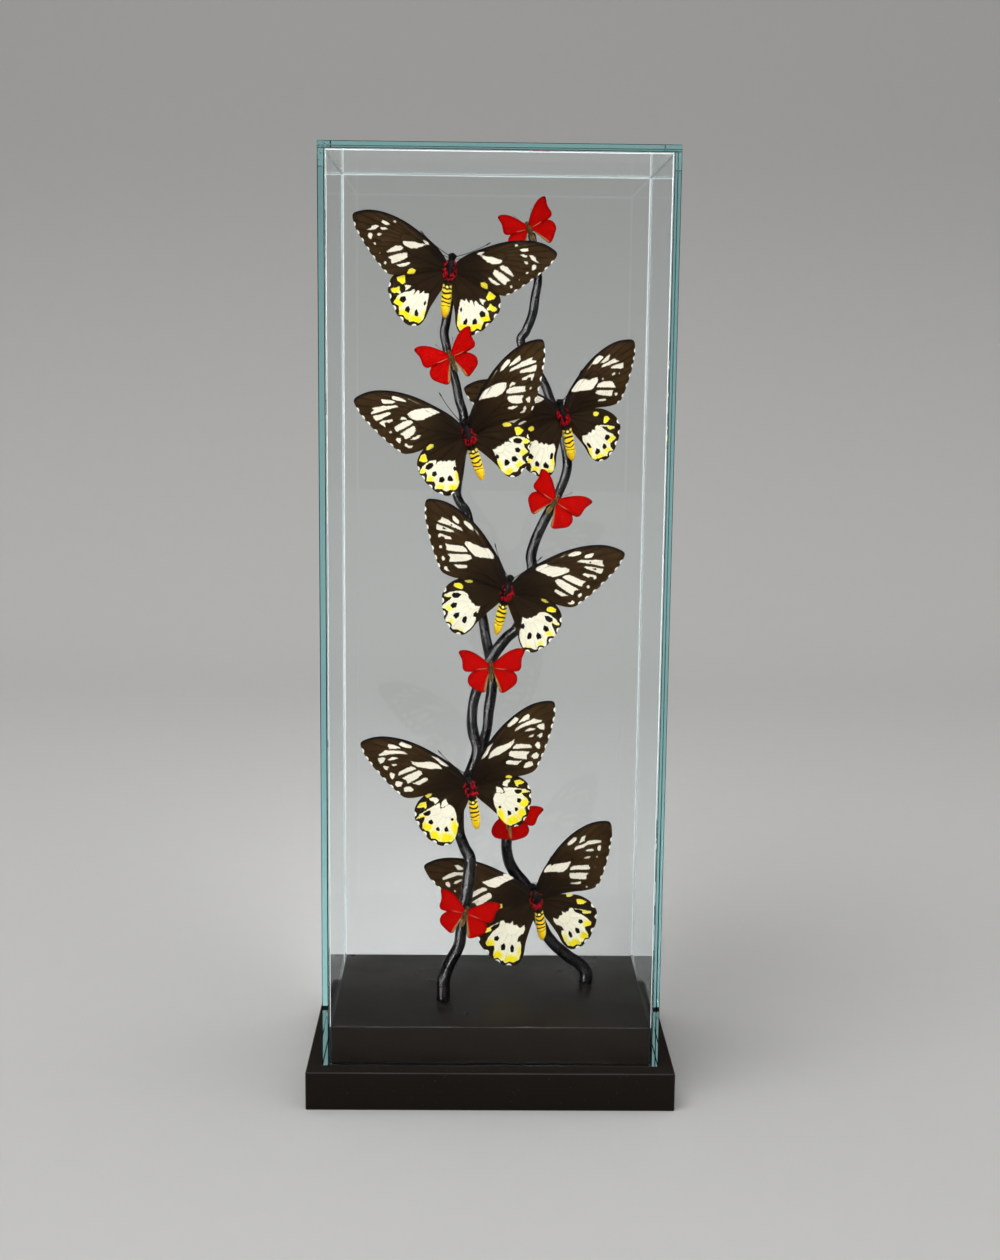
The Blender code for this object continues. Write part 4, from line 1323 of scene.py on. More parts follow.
HIND_MARKS = {
    "birdwing_1": WingMarks(
        cream="""
21,24.5 22,28 25,30 28.3,29 27,26.3 24,24;
31.3,29.5 34,32 37.5,34 39.3,31.5 39,26.2 36,25.2;
42,26.8 46,29.2 49,32.2 50.8,30.2 50.3,27 47.6,24.5 47.5,22 45.7,22.5 45,25.5;
34.6,18.6 36,21 38.3,24.3 39.5,21.6 41.6,20 38,18.8;
29.6,1.5 32.6,4.6 31,6.5 36.5,8.2 33.5,9.4 34,11.2 41,12.2 36,13 35.4,14.4 40,17 44.5,20.8 49,22.6
57.4,21.9 57,16 60,13 62.8,10.6 61,8 62,4 60.8,1 61.6,-1 59,-4 57.6,-8.2 52,-9.7 47,-7.4 41,-4.6 36,-2.2""",
        yellow="""
20,24 21.5,29 25,31 29.5,29.5 28,25.5 24,23;
30,29.5 33.5,33 38,35 40.5,32 40,25.5 36,24;
41,26.8 45.5,30 49,33 52,30.5 51,26.5 47.6,24;
50.4,14.8 50.6,19.5 52.5,23 58.5,22.5 58.5,15.5 55,13.8;
56,3 55.2,8 57,11.6 59.5,14 64,11 63.5,4 61,1;
52.5,-3.5 54.5,1.2 58.5,2 62.5,-.5 60.5,-5 58.5,-9.5 53,-10 51,-6.5;
43.5,-5.5 49,-6 49.5,-9.5 45,-8""",
        dark="""
46,17 49,19.9 52.4,18.8 51.9,14.5 48,14.2;
50.8,9.1 54,10 56.5,8.6 55.9,4.8 52.4,6;
48.4,1.4 51.4,1.2 54.1,-1 53,-3.8 50.2,-2.4;
36.8,0 39.6,-.3 41.6,-2.4 38.5,-2.3""",
        fringe="47.5,36 55.3,29 60.8,18 64,6.5 61,-6"),
    "birdwing_2": WingMarks(
        cream="""
21.8,28.8 23,32 27,34 30,33.5 28,30.5 24,28;
33.7,33 37,36 42.3,36.2 42.4,33 41.5,29 39,28.2 36.5,30.5;
28.3,2.5 30.7,5.4 30.4,8 33.3,10.2 32.8,12 34.6,14 34,15.5 36,17.5 40,18.8 36.4,19.6 35.5,21 38.5,25.5
43,29 50,31.6 54.2,31 53,27.5 50,25.3 54,22.6 58.5,21.2 57,17 56,14.6 58,12 63,10.6 61.4,8 60,4 60.8,1
60.4,-1.5 57.4,-4.5 57,-8 53,-10.2 47,-9.5 41,-6 37,-2 33,0""",
        yellow="""
21,28.5 22.5,33 27,35 31,34 28,30 24,27;
33,33 37,37 43.5,37 43,32.5 42,28.5 39,27.2 36,30;
47.8,28.8 50,31.5 54,31.2 52.8,27.2 49.5,25.5;
52.3,19.5 56,21.5 58.5,19.5 56.5,15 52.3,16;
57.2,9 60.8,9 60.2,3 57,2.8 55.8,6;
51.8,-4 55.5,-1.2 58,-4.5 57.5,-9 51,-10;
38.5,-2.8 43,-3.6 48.5,-9.5 42,-8""",
        dark="""
39.3,22.6 41,25.6 44.5,27.6 47.6,27 47.2,23.6 44,21.2 41,20.8;
45.7,16.4 48,19.1 51.3,18.4 51.2,15.3 48.4,14;
48,8 50.4,10.3 54.5,9.2 53.8,5.8 51,4.7 49.2,5.8;
44,1.6 46.5,3 49.9,1.9 49.5,-1.6 47.5,-3.6 45.2,-1;
33.8,1 36.6,1.2 38.4,-.8 36.4,-2.8 34.8,-1""",
        fringe="51.5,35.5 58.5,26.5 62.2,15.5 64.8,3 60,-8.5"),
    "birdwing_3": WingMarks(
        cream="""
20.7,24.5 22.6,27.3 25.3,27.3 26,24.5 24,22.2 22,23;
32.2,29 34,32 37.5,31.5 38,28 37,24.5 35.5,24.7;
33.5,16.8 35.5,20.5 40,24.4 46.6,29.6 48,28 45.7,24.4 43.6,23.3 41.5,24 37.5,20.5;
32.4,17 36,19.6 40,19.6 45,20.3 50,22.2 56,22.3 56.6,19 56,14.2 59,11.6 63.7,10.7 61.6,8 61.8,5 63.2,2.4
61,0 60,-4 56.4,-9.5 54.2,-10.6 48,-8.7 41,-5.3 35,-5 31.5,-3 29.7,-1 33,3.6 31.8,5.8 34.2,8 32.5,10.4
35,12.6 33,14.6""",
        yellow="""
20,24 22,28.2 25.8,28.2 27,24.5 24,21.2;
31.5,29 34,33 38.3,32.5 39,28 37.5,23.5 35,24;
41.3,25 46.8,29.3 47.7,27.5 45.5,24.3 43.5,23.3;
51.3,20.5 55.5,23 57,18 55.2,14 52,14;
57,9 61.8,10.5 62,6 59,4 56.8,6;
55,-4 57.5,.5 62,.5 60.5,-4 57.5,-9 54,-9.5;
42,-3.8 47,-4.8 53,-10 47,-9.2""",
        dark="""
46.5,17 49,19.1 51.6,18.2 51.6,13.4 48.4,13.4;
51.2,8.8 54,9.6 56.6,8.1 56,4.8 53.2,5.2;
49.4,0 52.5,1.5 55.1,0 54.8,-4.2 52,-4.5;
38.3,-2.5 41,-1.8 45.3,-3 44.2,-4.8 40,-4.5""",
        fringe="45.5,34 52.8,27.5 59.6,18 66,6.5 63,-5.8"),
    "birdwing_4": WingMarks(
        cream="""
20.5,26.5 23,30 27,31 25.5,28.5 22.5,26;
31.3,28 32,32 36,34.7 38.2,33.5 36.5,29.5 33.5,26.2;
32.3,20.2 34,24 38,27.4 43,30.2 50,32.4 51.5,31 49,28 46,26 48,25 52,25 57.5,24.7 59.7,23 57.5,20.5
57,17 60,14 64.2,11.6 64.5,10 62,8 61.4,5 63.5,2 63,0 60,-2.5 58.5,-5.5 56,-9.4 50,-9.2 45,-8.2 41,-5.8
38,-2 33.5,0 29.4,2.6 33.2,6 32.6,8.5 34.2,10.5 33,13 34,15.5 32.6,17.5""",
        yellow="""
20,26.5 22.5,30.8 27.5,31.8 26,28 22.5,25.2;
30.5,28 31.5,32.7 36,35.5 39,33.8 37,29 33.5,25.4;
46.5,27.6 50.3,30.6 50.3,29.4 48,27;
52.4,16.8 53,20.8 56,22 57,19 55.2,16.4;
59.4,5.6 58,8 60,9.8 61.6,8 61.2,5.4;
57,-7 57.5,-4 59,-2.5 58,-6""",
        dark="""
37.2,22.5 39,25.7 42.5,28.3 45.1,27.2 44.6,23.8 41.5,21.7;
45.2,18 48,20.8 51.6,20.2 51.8,17 48.5,15.5;
48.7,9.6 52,11.3 55.3,10.8 55,6.5 51.2,6.8;
45.5,3.2 48.6,3.6 51.6,1.4 51,-2.2 48.4,-1.5 46.2,.8;
35,1 38.6,.7 40.3,-1.4 38.6,-3 35.8,-1.1""",
        fringe="47.8,36 56.3,29.5 62.2,18.5 66.3,5.5 62,-7.2"),
    "birdwing_5": WingMarks(
        cream="""
22.5,30 24,33.3 28,34.2 28.6,31.5 25,29.5;
33,31.2 36,34.7 41.7,36.5 40.2,32.5 38.2,31 39.2,28.5 36.5,28.2;
24.6,23 26,27 28.6,29.5 29.6,27.5 29,24.4 30.7,22.6 28,20.6 25.5,21;
21.8,15.3 26,16.9 30,16.2 31,14 28.4,12.4 25.3,10.5 24,12.5;
25.4,9.8 25.4,7 26.5,3.5 29,1 33,-2.5 36,-3.5 38,-6.5 42,-10 47,-11.4 53,-10.6 57,-9.2 60,-5 61,-1
62.2,2 61.5,6 62.5,10 60,12 57.5,14.5 58.2,19 57,22.2 53,24.2 49,24.2 46,25.2 49,28.6 52.2,31.7 47,31.2
42,28.2 38,25.7 33,22.6 27.8,18.8 30,17.4 32.6,15.6 30,13""",
        yellow="""
22,29.5 23.5,34 28.5,35 29,31 25,28.7;
32.3,31.2 36,35.7 43,37.4 40.8,32.5 39,31 40,28 36.5,27.4;
44.3,25.5 47,29.6 52,31.8 51,28.3 47,24.5;
50.3,14.8 51,21 54,24.3 58,22 58.5,16.5 55,13.8;
53.6,9 56.8,13.2 62.5,12 63,8 61.8,2.2 58,2.8 55,5.6;
50.6,-4.5 52.6,2 58,2.2 61.5,-.8 60,-6 55,-10.4 51.5,-9.3;
37.3,-1 41.2,-1 47,-4.6 50,-11.5 44,-10.5 40,-8""",
        dark="""
38.2,23.5 41,26.3 44.2,28.2 45.3,26.2 43.8,22.6 41,21.7;
45.7,18.1 48,20.1 50.3,19.2 50.1,15.8 47.7,15.2;
49.2,9.1 51.5,10.5 53.3,9.1 52.7,6.2 50.9,6.8;
45.2,2.4 48.6,3.1 50.8,1.1 48.9,-2.1 46.9,-.3;
37,.4,1.3""",
        fringe="49,36 55.3,28.5 60.2,17.5 64,5.5 61.5,-6"),
    "birdwing_6": WingMarks(
        cream="""
15,26 18,29 21,29.6 20,26.5 18,24;
26.5,29.5 30,33 34.7,34.6 34,31.5 32,28.5 30,27;
29.6,19.8 33,22.5 38,26.6 44.6,31.7 45.7,30 43,26.5 40,24.4 37.5,25.4 33.6,21.8;
25.7,-.3 29.6,2.4 27.8,6 29.4,8.8 26,10.6 29.4,11.8 28.8,14 30.2,15.6 28.5,18 29.6,20.6 33,20 38,21.4
42,23.2 48,24.2 53,24.5 54.7,22 53,19 52,16.5 56,15 60,14.1 62.8,11.6 61.5,9.5 63.2,6 61.8,4 63.2,1
61,-1.5 60,-5 56,-8.6 50,-7.7 44,-5.2 40.3,-2.8 41.6,-1 38,0 34.5,-.5 33,-2.5 29,-2.5""",
        yellow="""
14.3,25.7 18,29.8 21.8,30.4 20.7,26 18,23.2;
25.8,29.3 29.8,33.8 35.6,35.4 34.8,31 32.6,28 30,26.2;
37,26 41,29.8 44.8,31.9 44.8,29 41.7,25.8 39.5,24.8;
47.8,20 50.6,24.6 55,23.4 54.2,18.6 50.5,17;
54.6,10.5 57.8,14.2 62.5,13 62.5,8 58,6;
54,-4 55.6,2 62,3.3 62.3,-2 60.3,-6.6 55.2,-7.6;
44,-3.4 50,-4.6 54,-7.5 49,-7.3""",
        dark="""
32.3,20.2 35,23.6 38.6,25.8 40.1,24.2 38.2,21.8 35.5,20;
42.9,17.6 45,19.6 47.6,18.5 47.3,15.8 44.3,15.2;
46.7,9.6 50,11.3 53.7,9.1 52.2,6.5 48.8,7.4;
45,2.9 48.6,3 52.3,.8 51.2,-1.3 47.4,-.2""",
        fringe="41.5,35.5 49.5,29.5 57.8,19 65,7.8 64.6,-3"),
}

RED_FORE_MARKS = WingMarks(dark="94,3 99,1 97,-3 93,-1", pale="8,-6 22,-14.5 34,-22 24,-17.5 12,-9")
RED_HIND_MARKS = WingMarks(pale="0,-8 0,-30 -2,-52 -5,-67 -8,-66 -9,-46 -5,-22")


# ---- Butterflies ----

FULL_WING = 105  # millimetres, the forewing that the wings' relief is given for
FULL_BODY = 57.0  # millimetres, the length of a birdwing's body
RIM_STEPS = 160  # points along each edge of a wing
RIM_REACH = 0.03  # how near the points lie that give an edge's direction, in wing lengths
BAY_WIDTH, BAY_DEPTH = 0.028, 0.05  # over which a bay fades, in wing lengths


@dataclass(frozen=True)
class Wing:
    """One pair of a specimen's wings: forewing length in millimetres, angles in degrees."""

    length: float
    spread: float  # between the head's direction and the forewing's axis
    sweep: float  # from the forewing's axis back to the hindwing's
    hind: float  # hindwing length in forewing lengths
    breadth: float = 1.0


@dataclass(frozen=True)
class Pose:
    """How one specimen is mounted. Its place is that of its wing roots, in millimetres."""

    place: Triple
    heading: float  # the head's direction, in degrees from the right, seen from the front
    trail: float  # the same for the abdomen, from its end to the waist
    rise: float  # how far the wings are raised to the front, in degrees
    left: Wing
    right: Wing
    antennae: Span  # degrees between each feeler and the head's direction
    perches: tuple[str, str]  # the stem that each side's legs hold


@dataclass(frozen=True)
class Stripe:
    """One black stripe across the abdomen, in millimetres along the body."""

    place: float
    width: float
    depth: float


STRIPES = (Stripe(-16.6, 0.8, 1), Stripe(-20.7, 1.0, 1), Stripe(-25.1, 0.85, 1),
           Stripe(-28.8, 0.65, 0.95), Stripe(-31.9, 0.5, 0.75), Stripe(-35.0, 0.4, 0.5))


@dataclass
class Butterfly:
    """One mounted specimen. Its sizes are in millimetres, and are those of its CAD solid."""

    name: str
    pose: Pose
    seed: int

    fore_shape: WingShape = BIRDWING_FOREWING
    hind_shape: WingShape = BIRDWING_HINDWING
    thickness: float = 0.3
    fore_layer: float = 2.2
    hind_layer: float = 0.6
    hind_drop: float = 2.0
    body: tuple[Span, ...] = (  # places along it and the radius at each
        (15.0, 0.0), (14.0, 2.3), (11.5, 3.5), (8.8, 2.9), (6.2, 4.7), (1.5, 6.0), (-4.5, 5.6),
        (-10.2, 3.5), (-13.0, 4.1), (-24.0, 4.7), (-35.0, 4.1), (-40.5, 1.9), (-42.0, 0.0))
    waist: float = -10.2
    brow: Span = (11.5, 3.5)  # where the feelers start: along, and the radius
    shoulder: float = 4.7
    antenna: float = 34.0
    antenna_radius: float = 0.38
    leg_radius: float = 0.5
    leg_reach: float = 9.5
    leg_places: tuple[Span, ...] = ((4.5, 15.0), (0.5, -10.0), (-4.0, -21.0))  # hips and feet
    eye: tuple[float, float, float, float] = (12.2, 2.5, 1.0, 1.5)  # along, beside, ahead, radius
    segments: int = 7
    body_sides: int = 32
    body_rings: int = 120
    collar: float = -14.2  # where the black round the waist ends
    spot: float = -15.3  # the middle of the pale first spot
    rib: float = 0.22  # how far the veins stand up, the wings wave and their edges curl
    wave: float = 0.35
    curl: float = 0.5

    def __post_init__(self) -> None:
        """Works out the specimen's own directions."""
        heading, trail = radians(self.pose.heading), radians(self.pose.trail)
        self.origin = np.array(self.pose.place) * MM
        self.head = np.array((cos(heading), 0, sin(heading)))
        self.trail = np.array((cos(trail), 0, sin(trail)))
        self.across = np.array((sin(heading), 0, -cos(heading)))
        self.random = np.random.default_rng(self.seed)

    def marks(self, is_hind: bool) -> WingMarks:
        """The marks of this specimen's forewings or hindwings."""
        return (HIND_MARKS if is_hind else FORE_MARKS)[self.name]

    def wing_sheet(self, side: int, wing: Wing, is_hind: bool) -> bpy.types.Object:
        """One wing as a single sheet, which keeps its marks as numbers on its points.

        Args:
            side: -1 for the left of the picture, 1 for the right.
            wing: the pair's sizes and angles.
            is_hind: whether this is the hindwing.

        Returns:
            The new object.
        """
        shape = self.hind_shape if is_hind else self.fore_shape
        length = wing.length * (wing.hind if is_hind else 1.0)
        rise = radians(self.pose.rise - self.hind_drop * is_hind)
        outward = side * self.across * cos(rise) + FRONT * sin(rise)
        normal = FRONT * cos(rise) - side * self.across * sin(rise)
        angle = radians(wing.spread + wing.sweep * is_hind)
        along = cos(angle) * self.head + sin(angle) * outward
        ahead = sin(angle) * self.head - cos(angle) * outward
        root = self.origin + MM * (self.hind_layer if is_hind else self.fore_layer) * FRONT
        breadth = 1.0 if is_hind else wing.breadth
        kept: dict[str, np.ndarray] = {}
        marks = self.marks(is_hind)
        veins = [spline(read_points(text), 4) for text in shape.veins]
        bays = read_points(marks.fringe) if marks.fringe else np.empty((0, 2))
        phase = self.random.uniform(0, 2 * pi, 4)

        def lay(u: np.ndarray, v: np.ndarray) -> np.ndarray:
            """Lays the wing's points and keeps their distances to its marks.

            Args:
                u: the share from the root to the far end.
                v: the share from the hind edge to the front edge.

            Returns:
                Their places, in metres.
            """
            front, back = shape.edges(u, breadth)
            flat = back + (front - back) * v[:, None]
            leading, trailing = shape.edges(np.linspace(0, 1, RIM_STEPS), breadth)
            rim = np.vstack([leading, trailing[::-1]])
            kept["vein"] = np.min([distance_to_line(flat, vein) for vein in veins], axis=0) * length
            kept["margin"] = distance_to_line(flat, rim) * length
            kept["costa"] = (np.full(len(flat), FAR) if is_hind
                             else distance_to_line(flat, leading) * length)
            kept["reach"] = np.linalg.norm(flat, axis=1)
            kept["hind"] = np.full(len(flat), float(is_hind))
            for mark, rounding in (("cream", 1), ("yellow", 3), ("dark", 1), ("pale", 3)):
                kept[mark] = mark_depth(flat, getattr(marks, mark), length, rounding)
            if not is_hind:
                first_spot = self.marks(True).cream.split(";")[0]
                turn = radians(wing.sweep)
                behind = flat @ ((cos(turn), sin(turn)), (-sin(turn), cos(turn))) / wing.hind
                covered = mark_depth(behind, first_spot, length * wing.hind, 1)
                kept["cream"] = np.maximum(kept["cream"], covered)
                kept["yellow"] = np.maximum(kept["yellow"], covered + 1)
            fringe = np.full(len(flat), -FAR)
            moved = flat.copy()
            middle = flat.mean(0)
            for bay in bays:
                spot = rim[np.linalg.norm(rim - bay, axis=1).argmin()]
                tangent = self.rim_direction(rim, spot)
                inward = np.array((-tangent[1], tangent[0]))
                inward *= np.sign((middle - spot).dot(inward))
                offset = flat - spot
                oval = np.hypot(offset @ tangent / shape.dash[0], offset @ inward / shape.dash[1])
                fringe = np.maximum(fringe, (1 - oval) * shape.dash[1] * length)
                near = np.exp(-((offset @ tangent) / BAY_WIDTH) ** 2
                              - ((offset @ inward) / BAY_DEPTH) ** 2)
                moved += shape.bays * near[:, None] * inward
            kept["fringe"] = fringe
            dome = shape.dome * 4 * v * (1 - v) * np.sin(pi * np.clip(u * 0.97 + 0.06, 0, 1))
            ribs = self.rib * np.exp(-(kept["vein"] / 1.3) ** 2)
            wave = self.wave * (np.sin(9 * flat[:, 0] + phase[0]) * np.sin(8 * flat[:, 1] + phase[1])
                                + 0.5 * np.sin(21 * flat[:, 0] + 13 * flat[:, 1] + phase[2]))
            curl = self.curl * np.exp(-kept["margin"] / 3) * np.sin(6 * u + phase[3])
            loose = np.clip((kept["reach"] - 0.12) / 0.2, 0, 1)
            scale = length / FULL_WING
            height = scale * (dome + ribs + (wave + curl) * loose)
            return (root + MM * (length * (moved[:, :1] * along + moved[:, 1:] * ahead)
                                 + height[:, None] * normal))

        piece = lay_grid(f"{self.name} wing", shape.columns, shape.rows, lay)
        keep_numbers(piece, kept)
        return piece

    @staticmethod
    def rim_direction(rim: np.ndarray, spot: np.ndarray) -> np.ndarray:
        """The direction of a wing's edge.

        Args:
            rim: the edge's points.
            spot: one of them.

        Returns:
            A direction of length 1.
        """
        near = rim[np.linalg.norm(rim - spot, axis=1) < RIM_REACH]
        spread = near - near.mean(0)
        return np.linalg.svd(spread, full_matrices=False)[2][0]

    def build_wings(self, finish: bpy.types.Material, slot: str) -> None:
        """Builds the four wings as one piece of thin plate.

        Args:
            finish: their material.
            slot: the record's material slot.
        """
        sheets = [self.wing_sheet(side, wing, is_hind)
                  for side, wing in ((-1, self.pose.left), (1, self.pose.right))
                  for is_hind in (False, True)]
        for sheet in sheets:
            edit_all(sheet, merge_points)
            apply_modifier(sheet, "SOLIDIFY", thickness=self.thickness * MM, offset=0.0)
        wings = join_pieces(f"{self.name}_wings", sheets)
        hand_over(wings, finish, slot, self.name)

    def body_place(self, place: np.ndarray) -> np.ndarray:
        """The middle of the body at places along it, in metres."""
        near, far = np.maximum(place, self.waist), np.minimum(place - self.waist, 0)
        return self.origin + MM * (near[:, None] * self.head + far[:, None] * self.trail)

    def body_radius(self, place: np.ndarray) -> np.ndarray:
        """The body's radius, pinched between its segments.

        Args:
            place: along the body, in millimetres.

        Returns:
            The radius at each place, in millimetres.
        """
        curve = spline(self.body, 8)
        radius = np.interp(-place, -curve[:, 0], np.maximum(curve[:, 1], 0))
        joints = np.linspace(self.waist - 0.5, self.body[-1][0] + 1.5, self.segments + 1)
        pinch = sum(np.exp(-((place - joint) / 0.45) ** 2) for joint in joints[1:-1])
        return radius * (1 - 0.06 * pinch)

    def bands(self, place: np.ndarray, turn: np.ndarray) -> tuple[np.ndarray, np.ndarray]:
        """How black the abdomen is, and how far it is its pale first spot, both from 0 to 1.

        Args:
            place: along the body, in millimetres.
            turn: round the body from its front, in radians.

        Returns:
            The black bands, which curve to the head at their ends, and the spot.
        """
        black = np.clip((place - self.collar - 1.2 * np.sin(turn) ** 2) / 0.6, 0, 1)
        bent = (place - 1.0 * np.sin(turn) ** 2
                + 0.5 * np.sin(3.1 * turn + 1.7 * np.rint(place / 4) + self.seed))
        upper = np.clip((np.cos(turn) - 0.15) / 0.3, 0, 1)
        for stripe in STRIPES:
            line = np.exp(-((bent - stripe.place) / stripe.width) ** 2)
            black = np.maximum(black, upper * stripe.depth * line)
        away = np.hypot(place - self.spot, 4.2 * turn_from_front(turn))
        ring = np.exp(-((away - 1.9) / 0.7) ** 2)
        return np.maximum(black, ring), np.clip((1.15 - away) / 0.4, 0, 1)

    def build_body(self, finish: bpy.types.Material, slot: str) -> None:
        """Builds the turned body: head, thorax, waist and segmented abdomen.

        Args:
            finish: its material.
            slot: the record's material slot.
        """
        kept: dict[str, np.ndarray] = {}
        top, end = self.body[0][0], self.body[-1][0]

        def lay(u: np.ndarray, v: np.ndarray) -> np.ndarray:
            """Lays the body's points and keeps their bands.

            Args:
                u: the share of the way round.
                v: the share from the head to the tail.

            Returns:
                Their places, in metres.
            """
            place = top + (end - top) * (0.5 - 0.5 * np.cos(pi * v)) * 0.35 + (end - top) * v * 0.65
            turn = 2 * pi * u
            radius = self.body_radius(place)
            kept["band"], kept["spot"] = self.bands(place, turn)
            kept["side"] = np.abs(np.sin(turn))
            kept["tip"] = np.clip((self.waist - 24 * self.scale() - place) / (6 * self.scale()), 0, 1)
            kept["abdomen"] = np.clip(self.waist - 0.3 - place, 0, 1)
            return (self.body_place(place) + MM * radius[:, None]
                    * (np.sin(turn)[:, None] * self.across + np.cos(turn)[:, None] * FRONT))

        piece = lay_grid(f"{self.name}_body", self.body_sides, self.body_rings, lay)
        keep_numbers(piece, kept)
        edit_all(piece, merge_points, turn_outwards)
        hand_over(piece, finish, slot, self.name)

    def scale(self) -> float:
        """The body's length against a birdwing's."""
        return (self.body[0][0] - self.body[-1][0]) / FULL_BODY

    def antenna_route(self, side: int, spread: float) -> np.ndarray:
        """The middle line of one feeler, which bows outwards and leans to the front.

        Args:
            side: -1 for the left of the picture, 1 for the right.
            spread: degrees between it and the head's direction.

        Returns:
            Its points, in metres.
        """
        angle = radians(spread)
        place, brow = self.brow
        start = self.origin + MM * (place * self.head + 0.5 * brow * side * self.across)
        along = cos(angle) * self.head + side * sin(angle) * self.across
        beside = side * cos(angle) * self.across - sin(angle) * self.head
        t = np.linspace(0, 1, 22)[:, None]
        return (start + self.antenna * MM * (t * along + 0.16 * t * (1 - t) * beside)
                + 3 * MM * t * FRONT)

    def leg_routes(self, side: int, perch: str) -> Iterable[np.ndarray]:
        """The middle lines of one side's legs: hip, knee and the foot on the bark.

        Args:
            side: -1 for the left of the picture, 1 for the right.
            perch: the stem that they hold.

        Returns:
            Each leg's points, in metres.
        """
        vine = Vine(perch)
        shoulder = self.shoulder * MM
        thin = self.leg_radius * MM
        for hip_place, foot_place in self.leg_places:
            hip = (self.origin + MM * hip_place * self.head
                   + shoulder * (0.3 * side * self.across - 0.45 * FRONT))
            knee = (self.origin + MM * 0.6 * (hip_place + foot_place) * self.head
                    + MM * self.leg_reach * side * self.across - 0.9 * shoulder * FRONT)
            reach = knee + MM * 0.4 * (foot_place - hip_place) * self.head
            stem, radius = vine.nearest(reach)
            aim = (reach - stem) / np.linalg.norm(reach - stem)
            foot = stem + (radius * (1 + vine.ridge) + thin + GAP) * aim
            yield spline((hip, knee + (hip - knee) * 0.2, knee + (foot - knee) * 0.2, foot), 6)

    def build_limbs(self, finish: bpy.types.Material, slot: str) -> None:
        """Builds the clubbed feelers, the jointed legs and the eyes as one dark piece.

        Args:
            finish: their material.
            slot: the record's material slot.
        """
        parts = []
        sides = ((-1, self.pose.antennae[0], self.pose.perches[0]),
                 (1, self.pose.antennae[1], self.pose.perches[1]))
        for side, spread, perch in sides:
            route = self.antenna_route(side, spread)
            t = np.linspace(0, 1, len(route))
            size = 1 - 0.35 * t + 1.0 * np.exp(-((t - 0.93) / 0.055) ** 2)  # thin, then a club
            parts.append(lay_tube(f"{self.name} feeler", route, self.antenna_radius * MM * size, 8))
            for leg in self.leg_routes(side, perch):
                t = np.linspace(0, 1, len(leg))
                size = 1.05 - 0.55 * t + 0.18 * np.exp(-((t - 0.5) / 0.08) ** 2)  # with a knee
                parts.append(lay_tube(f"{self.name} leg", leg, self.leg_radius * MM * size, 8))
            along, beside, ahead, radius = self.eye
            bpy.ops.object.select_all(action="DESELECT")
            bpy.ops.mesh.primitive_uv_sphere_add(
                segments=20, ring_count=12, radius=radius * MM,
                location=self.origin + MM * (along * self.head + side * beside * self.across
                                             + ahead * FRONT))
            parts.append(bpy.context.active_object)
            bpy.ops.object.transform_apply(location=True, rotation=True, scale=True)
        limbs = join_pieces(f"{self.name}_limbs", parts)
        hand_over(limbs, finish, slot, self.name)

    def grow(self, name: str, count: int, locks: int, places: Span, turns: tuple[Span, Span],
             length: Span, lean: float, radius: float) -> bpy.types.Object:
        """Grows hairs on the body, in locks.

        Args:
            name: the new object's name.
            count: how many hairs.
            locks: how many locks they stand in.
            places: the span along the body that they grow on, in millimetres.
            turns: the spans round the body at the first and at the last of these places, in degrees
                from its front, on both sides.
            length: shortest and longest hair, in millimetres.
            lean: how much they lean to the tail, in shares of their length.
            radius: of a hair, in millimetres.

        Returns:
            The new object.
        """
        draw = self.random
        lock = draw.integers(0, locks, count)
        share = np.clip(draw.uniform(0, 1, locks)[lock] + draw.normal(0, 0.03, count), 0, 1)
        round_share = np.clip(draw.uniform(0, 1, locks)[lock] + draw.normal(0, 0.06, count), 0, 1)
        place = places[0] + (places[1] - places[0]) * share
        low, high = (first + (last - first) * share for first, last in zip(*turns))
        turn = np.radians(low + (high - low) * round_share) * draw.choice((-1, 1), locks)[lock]
        out = (np.sin(turn)[:, None] * self.across + np.cos(turn)[:, None] * FRONT)
        roots = self.body_place(place) + 0.93 * MM * self.body_radius(place)[:, None] * out
        tail = np.where(place[:, None] < self.waist, -self.trail, -self.head)
        aim = (out + tail * lean + draw.normal(0, 0.3, (locks, 3))[lock]
               + draw.normal(0, 0.1, (count, 3)))
        aim /= np.linalg.norm(aim, axis=1)[:, None]
        size = (draw.uniform(*length, locks)[lock] * draw.uniform(0.75, 1.1, count))[:, None] * MM
        return strands(name, roots, aim * size, radius * MM, 0.35 * size * tail)


